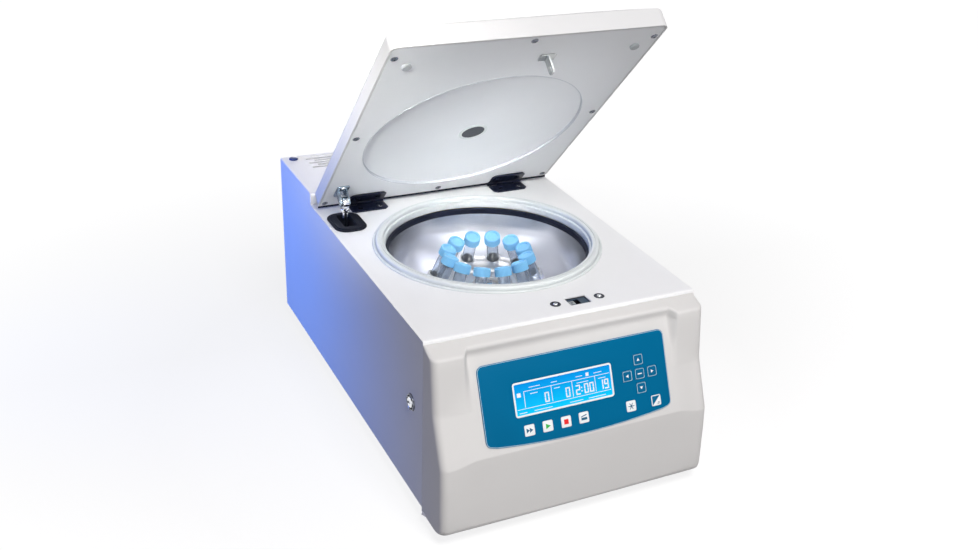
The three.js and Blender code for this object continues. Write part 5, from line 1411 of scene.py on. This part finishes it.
    def dish_shade_ring(self) -> None:
        """Spin the thin grey ring that lines the edge of the recess, darker than the liner to paint the shadow of the
        recess's step.
        """
        depth, inner, outer = self.dish_depth, self.dish - 0.0008, self.dish + 0.0004
        line = [(inner, depth), (inner, 0.0001), (inner + 0.0004, -0.0003), (outer, -0.0003), (outer, depth)]
        self.place(smooth(turned("dish_shade_ring", line, (0.0, self.dish_y, 0.0), 144, closed=True)), RECESS_SHADE_GREY)

    def fixings(self) -> None:
        """Make the liner's screws and pads."""
        places = [(-0.172, 0.407), (0.172, 0.407), (0.0, 0.421), (-0.172, 0.210), (0.172, 0.210), (0.0, 0.012),
                  (-0.173, 0.011), (0.173, 0.011)]
        for index, (x, out) in enumerate(places):
            seat = under_lid(x, -out, 0.0)
            cup = turned(f"liner_cup_{index + 1}", [(0.0, -0.0002), (0.0046, -0.0002), (0.0046, 0.0003),
                                                    (0.0042, 0.0006), (0.0, 0.0004)], steps=32)
            dress(smooth(moved(cup, seat)), DARK_STEEL, Body.LID)
            dress(ScrewSize(0.0030, 0.0014).make(f"liner_screw_{index + 1}", seat), DARK_STEEL, Body.LID)
        for side in (-1, 1):
            pad = turned("lid_pad", [(0.0, 0.0003), (0.0062, 0.0003), (0.0062, -0.0022), (0.0054, -0.0032),
                                     (0.0, -0.0034)], (side * 0.1525, -0.3875, 0.0), 40)
            pad.name = f"lid_pad_{'left' if side < 0 else 'right'}"
            self.place(smooth(pad), PAD_GREY)

    def rear_shade_strip(self) -> None:
        """Make a dark strip of painted shade along the rear edge, where the gap under the lid lies in shadow, left out
        at the hinges.
        """
        end, half = self.width / 2 - 0.001, self.hinge_width / 2 + 0.001
        spans = ((-end, -self.hinge_x - half), (half - self.hinge_x, self.hinge_x - half), (self.hinge_x + half, end))
        strips = [block("strip", (low, -0.0024, -0.0020), (high, -0.0004, 0.0004)) for low, high in spans]
        # Black rubber finish on a strip that paints the shadow of the gap under the lid's rear edge.
        self.place(round_edges(unite("lid_rear_shade_strip", strips), 0.0004, 2), RUBBER)

    def hook(self) -> None:
        """Finish the hook from its solid, with a short foot."""
        made = refined("lid_hook", "lid_hook_plate", 0.0004)
        ends = [moved(block("end", (min(a, b), -0.5, -0.0021), (max(a, b), 0.0, 0.0001)), lid_frame())
                for a, b in ((0.0245, 0.01), (0.0395, 0.06))]
        dress(drill(made, *ends), ZINC, Body.LID)

    def build(self) -> None:
        """Make the lid's pieces."""
        self.cover()
        self.liner()
        self.sight_glass()
        self.dish_shade_ring()
        self.fixings()
        self.rear_shade_strip()
        self.hook()


@dataclass
class LidHinges:
    """Two coated butt hinges, each with a lid leaf and a deck leaf on one pin."""

    centre: float = 0.111
    width: float = 0.054
    leaf: float = 0.002
    chamfer: float = 0.005
    deck_reach: float = 0.0288
    lid_reach: float = 0.028
    knuckle: float = 0.0042
    pin: float = 0.002
    middle_half: float = 0.01242
    seat: float = 0.0042
    sunk: float = 0.00167
    lid_screws: tuple[float, float] = (-0.0145, 0.0145)
    deck_screws: tuple[float, float] = (-0.0125, 0.016)
    gap: float = 0.0005
    edge: float = -0.0012

    def leaf_plate(self, name: str, x: float, y_far: float, low: float) -> Thing:
        """Return a leaf with chamfered outer corners, from the far edge to the hinge line."""
        half, cut = self.width / 2, self.chamfer
        line = [(x - half + cut, y_far), (x + half - cut, y_far), (x + half, y_far + cut), (x + half, self.edge),
                (x - half, self.edge), (x - half, y_far + cut)]
        return prism(name, line, low, low + self.leaf)

    def lid_leaf(self, side: int) -> None:
        """Make the leaf on the lid with its two outer knuckles."""
        x, word = side * self.centre, "left" if side < 0 else "right"
        inner = self.middle_half + self.gap
        face = -0.0003 - self.leaf
        leaf = self.leaf_plate("leaf", x, -self.lid_reach, face)
        drill(leaf, block("gap", (x - inner, -0.0047, -0.01), (x + inner, 0.01, 0.01)))
        round_edges(leaf, 0.0004, 2)
        drill(leaf, *[rod("seat", self.seat, (x + shift, -0.0165, face - 0.001), 0.001 + self.sunk, Axis.Z, 32)
                      for shift in self.lid_screws])
        run = self.width / 2 - inner
        ends = [round_edges(rod("knuckle", self.knuckle, (start, 0.0, 0.0), run, Axis.X), 0.0004, 2)
                for start in (x - self.width / 2, x + inner)]
        for end in ends:
            drill(end, rod("bore", self.pin + 0.0002, (x - self.width, 0.0, 0.0), 2 * self.width, Axis.X, 24))
        made = moved(unite(f"hinge_lid_leaf_{word}_form", [leaf, *ends]), lid_frame())
        dress(smooth(made), BLACK, Body.LID, f"hinge_lid_leaf_{word}")
        for shift in self.lid_screws:
            seat = under_lid(x + shift, -0.0165, face + self.sunk)
            dress(ScrewSize().make(f"hinge_lid_screw_{word}", seat), DARK_STEEL, Body.LID)

    def deck_leaf(self, side: int) -> None:
        """Make the leaf on the deck with its middle knuckle and the pin."""
        x, word = side * self.centre, "left" if side < 0 else "right"
        low, keep = DECK + 0.0003, self.middle_half
        face = low + self.leaf
        leaf = self.leaf_plate("leaf", x, -self.deck_reach, low)
        drill(leaf, *[block("gap", (min(x + end * 0.05, x + end * keep), -0.0047, 0.0),
                            (max(x + end * 0.05, x + end * keep), 0.01, 0.4)) for end in (-1, 1)])
        round_edges(leaf, 0.0004, 2)
        leaf.data.transform(Matrix.Translation((0.0, HINGE_LINE[1], 0.0)))
        drill(leaf, *[rod("seat", self.seat, (x + shift, 0.131, face - self.sunk), 0.01, Axis.Z, 32)
                      for shift in self.deck_screws])
        knuckle = round_edges(rod("knuckle", self.knuckle, (x - keep, *HINGE_LINE[1:]), 2 * keep, Axis.X), 0.0004, 2)
        pin = rod("pin", self.pin, (x - self.width / 2, *HINGE_LINE[1:]), self.width, Axis.X, 24)
        made = unite(f"hinge_deck_leaf_{word}_form", [leaf, knuckle, pin])
        dress(smooth(made), BLACK, Body.CABINET, f"hinge_deck_leaf_{word}")
        # The two deck screws are alike: the one at the positive shift is bright chrome, painting its highlight, and
        # the other dark steel, painting its shade.
        for shift in self.deck_screws:
            screw = ScrewSize().make(f"hinge_deck_screw_{word}",
                                     Matrix.Translation((x + shift, 0.131, face - self.sunk)))
            dress(screw, CHROME if shift > 0 else DARK_STEEL, Body.CABINET)

    def build(self) -> None:
        """Make both hinges."""
        for side in (-1, 1):
            self.lid_leaf(side)
            self.deck_leaf(side)


@dataclass
class GasStrut:
    """Gas strut with its lid bracket, its rod and cylinder, and the boot in the deck."""

    x: float = -0.157
    anchor: Point = (-0.157, 0.097, 0.045)
    lean: float = 0.01114
    length: float = 0.2378
    pin_reach: float = 0.050
    pin_drop: float = 0.017
    pin: float = 0.003
    cheek: float = 0.0025
    cheek_round: float = 0.007
    eye_half: float = 0.004
    slack: float = 0.0021
    rod: float = 0.004
    cylinder: float = 0.010
    cylinder_top: float = 0.140
    boot_centre: float = 0.0928
    boot_low: float = 0.2310
    boot_taper: Point = (0.74, 0.40, 0.0057)

    def frame(self) -> Matrix:
        """Return the matrix of the strut: its anchor at the origin and its rod up Z."""
        return Matrix.Translation(self.anchor) @ Matrix.Rotation(-self.lean, 4, "X")

    def bracket(self) -> None:
        """Make the U bracket under the lid with its pin and screws."""
        y, gap = -self.pin_reach, self.eye_half + 0.0003
        foot = block("foot", (self.x - 0.009, y - 0.015, -0.0023), (self.x + 0.009, y + 0.015, -0.0003))
        pieces = [round_picked(foot, lambda edge: runs_along(edge, Axis.Z), 0.002, 4)]
        line = [(y + self.cheek_round, -0.0004), (y - self.cheek_round, -0.0004)]
        line += arc((y, -self.pin_drop), self.cheek_round, 180, 360, 16)
        pieces += [prism("cheek", line, start, start + self.cheek, Axis.X)
                   for start in (self.x - gap - self.cheek, self.x + gap)]
        pieces.append(rod("pin", self.pin, (self.x - gap - self.cheek - 0.0006, y, -self.pin_drop),
                          2 * (gap + self.cheek) + 0.0012, Axis.X, 32))
        for piece in pieces:
            round_edges(piece, 0.0005, 2)
        made = moved(unite("strut_bracket_form", pieces), lid_frame())
        dress(smooth(made), TINTED_ZINC, Body.LID, "strut_bracket")
        for shift in (-0.0115, 0.0115):
            screw = ScrewSize(0.003, 0.0012).make("strut_bracket_screw", under_lid(self.x, y + shift, -0.0023))
            dress(screw, CHROME, Body.LID)

    def rod_and_eye(self) -> None:
        """Make the bright rod with its collar and slotted eye."""
        top = self.length - 0.0094
        bar = rod("bar", self.rod, (0.0, 0.0, 0.1005), top - 0.1005, Axis.Z, 40)
        collar = round_edges(rod("collar", 0.0064, (0.0, 0.0, top - 0.005), 0.005, Axis.Z, 40), 0.0006, 3)
        neck = round_edges(block("neck", (-self.eye_half, -0.0064, top - 0.0025),
                                 (self.eye_half, 0.0064, self.length)), 0.0006, 2)
        eye = round_edges(self.obround("eye", 0.0064, self.eye_half), 0.0006, 2)
        made = unite("strut_rod_form", [bar, collar, neck, eye])
        drill(made, self.obround("hole", self.pin + 0.0008, 0.02))
        dress(smooth(moved(made, self.frame())), CHROME, Body.STRUT_UPPER, "strut_rod")

    def obround(self, name: str, radius: float, half: float) -> Thing:
        """Return a form with round ends round the bracket's pin: the rod's eye or the slot in it."""
        line = [spot for shift, start in ((self.slack, -90), (-self.slack, 90))
                for spot in arc((shift, self.length), radius, start, start + 180, 16)]
        return prism(name, line, -half, half, Axis.X)

    def barrel(self) -> None:
        """Make the coated cylinder with its bore, its crimped head and its foot eye."""
        low, top = 0.0095, self.cylinder_top
        line = [(0.0, low), (0.0088, low)] + arc((0.0088, low + 0.0012), 0.0012, -90, 0, 4)
        line += [(self.cylinder, top - 0.012), (0.0094, top - 0.011), (0.0094, top - 0.0095),
                 (self.cylinder, top - 0.0085)]
        line += arc((self.cylinder - 0.0015, top - 0.0015), 0.0015, 0, 90, 4)
        line += [(0.0044, top), (0.0044, 0.056), (0.0, 0.056)]
        tube = turned("barrel", line, steps=64)
        half = self.eye_half
        eye = round_edges(rod("eye", 0.0077, (-half, 0.0, 0.0), 2 * half, Axis.X, 40), 0.0005, 2)
        neck = block("neck", (-half, -0.004, 0.0), (half, 0.004, 0.012))
        made = unite("strut_cylinder_form", [tube, eye, neck])
        drill(made, rod("bore", self.pin + 0.0003, (-0.02, 0.0, 0.0), 0.04, Axis.X, 32))
        dress(smooth(moved(made, self.frame())), BLACK, Body.STRUT_LOWER, "strut_cylinder")

    def boot(self) -> None:
        """Make the rubber boot round the rod where it enters the deck."""
        low, y = DECK + 0.0003, self.boot_centre

        def ring(name: str, half_x: float, half_y: float, corner: float, z0: float, z1: float) -> Thing:
            """Return a rounded rectangle round the rod between two heights."""
            return prism(name, rectangle((self.x, y), half_x, half_y, corner, 8), z0, z1)

        base = round_edges(ring("base", 0.023, 0.033, 0.018, low, low + 0.0019), 0.0007, 3)
        crest = round_edges(ring("crest", 0.0193, 0.0293, 0.0145, low + 0.0012, low + 0.0034), 0.0008, 3)
        made = unite("strut_boot_form", [base, crest, ring("cup", 0.0098, 0.0228, 0.0038, self.boot_low, low + 0.003)])
        funnel = ring("funnel", 0.010, 0.023, 0.004, self.boot_low - 0.002, 0.262)
        across, along, shift = self.boot_taper
        for vert in funnel.data.vertices:
            if vert.co.z < low:
                vert.co.x = self.x + (vert.co.x - self.x) * across
                vert.co.y = y + shift + (vert.co.y - y) * along
        drill(made, funnel)
        dress(smooth(made), RUBBER, Body.CABINET, "strut_boot")

    def build(self) -> None:
        """Make the strut's pieces."""
        self.bracket()
        self.rod_and_eye()
        self.barrel()
        self.boot()


@dataclass
class LidLock:
    """Lock under the deck, its bolt, and the two screws beside its slot."""

    x: float = 0.032
    y: float = -0.232
    screw_places: tuple[float, float] = (0.0008, 0.0625)

    def build(self) -> None:
        """Make the lock's pieces."""
        dress(refined("lock_housing", "lock_housing_form", 0.0004), PLASTIC, Body.CABINET)
        dress(refined("lock_bolt", "lock_bolt_form", 0.0003), CHROME, Body.BOLT)
        throat = block("lock_throat", (self.x - 0.0143, self.y - 0.0098, DECK - 0.0042),
                       (self.x + 0.0143, self.y + 0.0098, DECK - 0.0030))
        drill(throat, block("gate", (self.x - 0.0036, self.y - 0.0080, 0.2), (self.x + 0.0036, self.y + 0.0080, 0.3)))
        dress(smooth(throat), SLATE, Body.CABINET)
        catch = block("lock_catch", (self.x - 0.0120, self.y - 0.0040, DECK - 0.0030),
                      (self.x - 0.0045, self.y + 0.0035, DECK - 0.0020))
        drill(catch, rod("hole", 0.0018, (self.x - 0.0085, self.y, DECK - 0.01), 0.02, Axis.Z, 24))
        dress(smooth(round_edges(catch, 0.0003, 2)), ZINC, Body.CABINET)
        for index, x in enumerate(self.screw_places):
            cup = turned(f"lock_screw_cup_{index + 1}", [(0.0, 0.0), (0.0064, 0.0), (0.0068, 0.0003), (0.0062, 0.0008),
                                                        (0.0034, 0.0004), (0.0, 0.0003)], (x, self.y, DECK), 40)
            dress(smooth(cup), BLACK, Body.CABINET)
            seat = Matrix.Translation((x, self.y, DECK + 0.0003)) @ Matrix.Rotation(0.5, 4, "Z")
            dress(ScrewSize(0.0030, 0.0011).make(f"lock_screw_{index + 1}", seat), CHROME, Body.CABINET)


@dataclass
class InnerWorks:
    """Cooling unit, drive, insulation, base and rear services."""

    foot_top: float = 0.017
    foot_bottom: float = 0.014
    foot_height: float = 0.0217

    def feet(self) -> None:
        """Spin the four rubber feet."""
        for word, x, y in (("front_left", -0.151, -0.2235), ("front_right", 0.151, -0.2235),
                           ("rear_left", -0.151, 0.2855), ("rear_right", 0.151, 0.2855)):
            line = [(0.0, 0.0012), (0.008, 0.0012), (0.0085, 0.0), (self.foot_bottom - 0.002, 0.0)]
            line += arc((self.foot_bottom - 0.002, 0.002), 0.002, -90, -8, 4)
            line += [(self.foot_top, self.foot_height - 0.002), (self.foot_top - 0.002, self.foot_height),
                     (0.0, self.foot_height)]
            foot = turned(f"foot_{word}_form", line, (x, y, 0.0), 64)
            dress(smooth(foot, 40), RUBBER, Body.CABINET, f"foot_{word}")

    def build(self) -> None:
        """Finish the inner pieces from their solids, and make the feet."""
        plan = (
            ("base_pan", 0.0004, ZINC, Body.CABINET), ("rear_panel", 0.0003, POWDER, Body.CABINET),
            ("insulated_drum", 0.0008, FOAM, Body.CABINET), ("motor_housing", 0.0008, BLACK, Body.CABINET),
            ("drive_shaft", 0.0004, CHROME, Body.ROTOR), ("compressor", 0.0008, BLACK, Body.CABINET),
            ("condenser", 0.0004, FIN_METAL, Body.CABINET), ("fan_rotor", 0.0004, PLASTIC, Body.FAN),
            ("power_inlet", 0.0005, PLASTIC, Body.CABINET), ("power_switch", 0.0004, BLACK, Body.ROCKER))
        for solid, width, finish, body in plan:
            dress(refined(solid, f"{solid}_form", width), finish, body)
        coil = refined("evaporator_coil", "evaporator_coil_form", 0.0)
        dress(smooth(coil, 75), COPPER, Body.CABINET)
        self.feet()


# Studio


@dataclass(frozen=True)
class Lamp:
    """Soft square light: where it hangs, what it looks at, and how wide its cone is in degrees."""

    name: str
    place: Point
    target: Point
    size: float
    watts: float
    colour: Colour
    spread: float = 180.0


@dataclass(frozen=True)
class FloorFinish:
    """Floor that is seen as white, keeps the object's shadow and throws little light back at it."""

    front_colour: float = 0.26
    rear_colour: float = 0.08
    near_glow: float = 0.84
    far_glow: float = 1.0

    def material(self) -> bpy.types.Material:
        """Return the floor's material."""
        made = bpy.data.materials.new("pale_floor")
        made.use_nodes = True
        tree = made.node_tree
        tree.nodes.clear()
        place = object_place(tree)
        apart = node(tree, "SeparateXYZ", {"Vector": place})
        fall = ramp(tree, apart.outputs["Y"], (-0.5, 0.25), (self.front_colour, self.rear_colour))
        plain = node(tree, "BsdfDiffuse", {"Color": fall})
        away = node(tree, "VectorMath", {0: place}, operation="LENGTH")
        strength = ramp(tree, away.outputs["Value"], (0.45, 1.1), (self.near_glow, self.far_glow))
        glow = node(tree, "Math", {0: strength, 1: seen_rays(tree)}, operation="MULTIPLY")
        shine = node(tree, "Emission", {"Strength": glow.outputs["Value"]})
        both = node(tree, "AddShader", {0: plain.outputs["BSDF"], 1: shine.outputs["Emission"]})
        node(tree, "OutputMaterial", {"Surface": both.outputs["Shader"]})
        return made


@dataclass
class Studio:
    """Floor, camera and soft lights."""

    lamps: tuple[Lamp, ...] = (
        Lamp("key", (-0.10, -1.62, 2.3), (0.0, -0.05, 0.2), 0.9, 55.0, (1.0, 0.99, 0.97)),
        Lamp("fill", (-0.30, -2.0, 0.14), (0.0, -0.05, 0.40), 0.6, 9.2, (1.0, 0.99, 0.98)),
        Lamp("liner", (0.10, -1.15, 0.30), (0.03, 0.0, 0.41), 0.2, 0.06, (1.0, 1.0, 1.0), 16.0),
        Lamp("lid_side", (-1.0, -1.0, 1.05), (-0.20, -0.07, 0.49), 0.2, 0.34, (1.0, 0.99, 0.96), 14.0),
        Lamp("blue_side", (-0.92, 0.31, 0.34), (-0.185, 0.31, 0.10), 0.3, 1.3, (0.02, 0.21, 1.0), 84.0),
        Lamp("back", (0.7, 2.3, 0.55), (0.0, 0.32, 0.28), 0.8, 14.0, (1.0, 1.0, 1.0)))
    sky: Colour = (0.95, 0.82, 1.0)
    sky_strength: float = 0.13

    camera_at: Point = (-0.63293, -1.35687, 0.92225)
    right: Point = (0.89588, -0.44209, 0.04425)
    up: Point = (0.15698, 0.40813, 0.89932)
    forward: Point = (0.41564, 0.79874, -0.43504)
    lens: float = 43.53
    shift: tuple[float, float] = (-0.0339, -0.0053)

    def camera(self) -> None:
        """Set the camera where the view was taken from."""
        data = bpy.data.cameras.new("camera")
        data.lens = self.lens
        data.sensor_fit = "HORIZONTAL"
        data.sensor_width = 36.0
        data.shift_x, data.shift_y = self.shift
        data.clip_start, data.clip_end = 0.05, 50.0
        made = bpy.data.objects.new("camera", data)
        bpy.context.collection.objects.link(made)
        backward = [-value for value in self.forward]
        turn = Matrix((self.right, self.up, backward)).transposed().to_4x4()
        made.matrix_world = Matrix.Translation(self.camera_at) @ turn
        bpy.context.scene.camera = made

    def light(self, lamp: Lamp) -> None:
        """Hang a soft light that looks at its target."""
        data = bpy.data.lights.new(lamp.name, "AREA")
        data.size = lamp.size
        data.energy = lamp.watts
        data.color = lamp.colour
        data.spread = math.radians(lamp.spread)
        made = bpy.data.objects.new(lamp.name, data)
        bpy.context.collection.objects.link(made)
        made.location = lamp.place
        made.visible_camera = False
        made.rotation_euler = (Vector(lamp.target) - Vector(lamp.place)).to_track_quat("-Z", "Y").to_euler()

    def world(self) -> None:
        """Show white behind the object and light it softly."""
        world = bpy.data.worlds.new("studio")
        bpy.context.scene.world = world
        world.use_nodes = True
        tree = world.node_tree
        soft = tree.nodes["Background"]
        feed(tree, soft, {"Color": (*self.sky, 1.0), "Strength": self.sky_strength})
        white = node(tree, "Background", {"Color": (1.0, 1.0, 1.0, 1.0), "Strength": 1.0})
        mixed = node(tree, "MixShader", {"Fac": seen_rays(tree), 1: soft.outputs["Background"],
                                         2: white.outputs["Background"]})
        feed(tree, tree.nodes["World Output"], {"Surface": mixed.outputs["Shader"]})

    def build(self) -> None:
        """Lay the floor, hang the lights and set the camera."""
        floor = block("floor", (-6.0, -6.0, -0.02), (6.0, 6.0, 0.0))
        floor.data.materials.append(FloorFinish().material())
        self.world()
        for lamp in self.lamps:
            self.light(lamp)
        self.camera()
        bpy.context.scene.view_settings.view_transform = "Standard"


def main() -> None:
    """Build every piece."""
    logging.basicConfig(level=logging.INFO, format="%(message)s")
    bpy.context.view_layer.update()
    for assembly in (CabinetBody(), FrontMoulding(), ControlPanel(), Chamber(), RotorSet(), Lid(), LidHinges(),
                     GasStrut(), LidLock(), InnerWorks()):
        log.info("building %s", type(assembly).__name__)
        assembly.build()
    Studio().build()


if __name__ == "__main__":
    main()
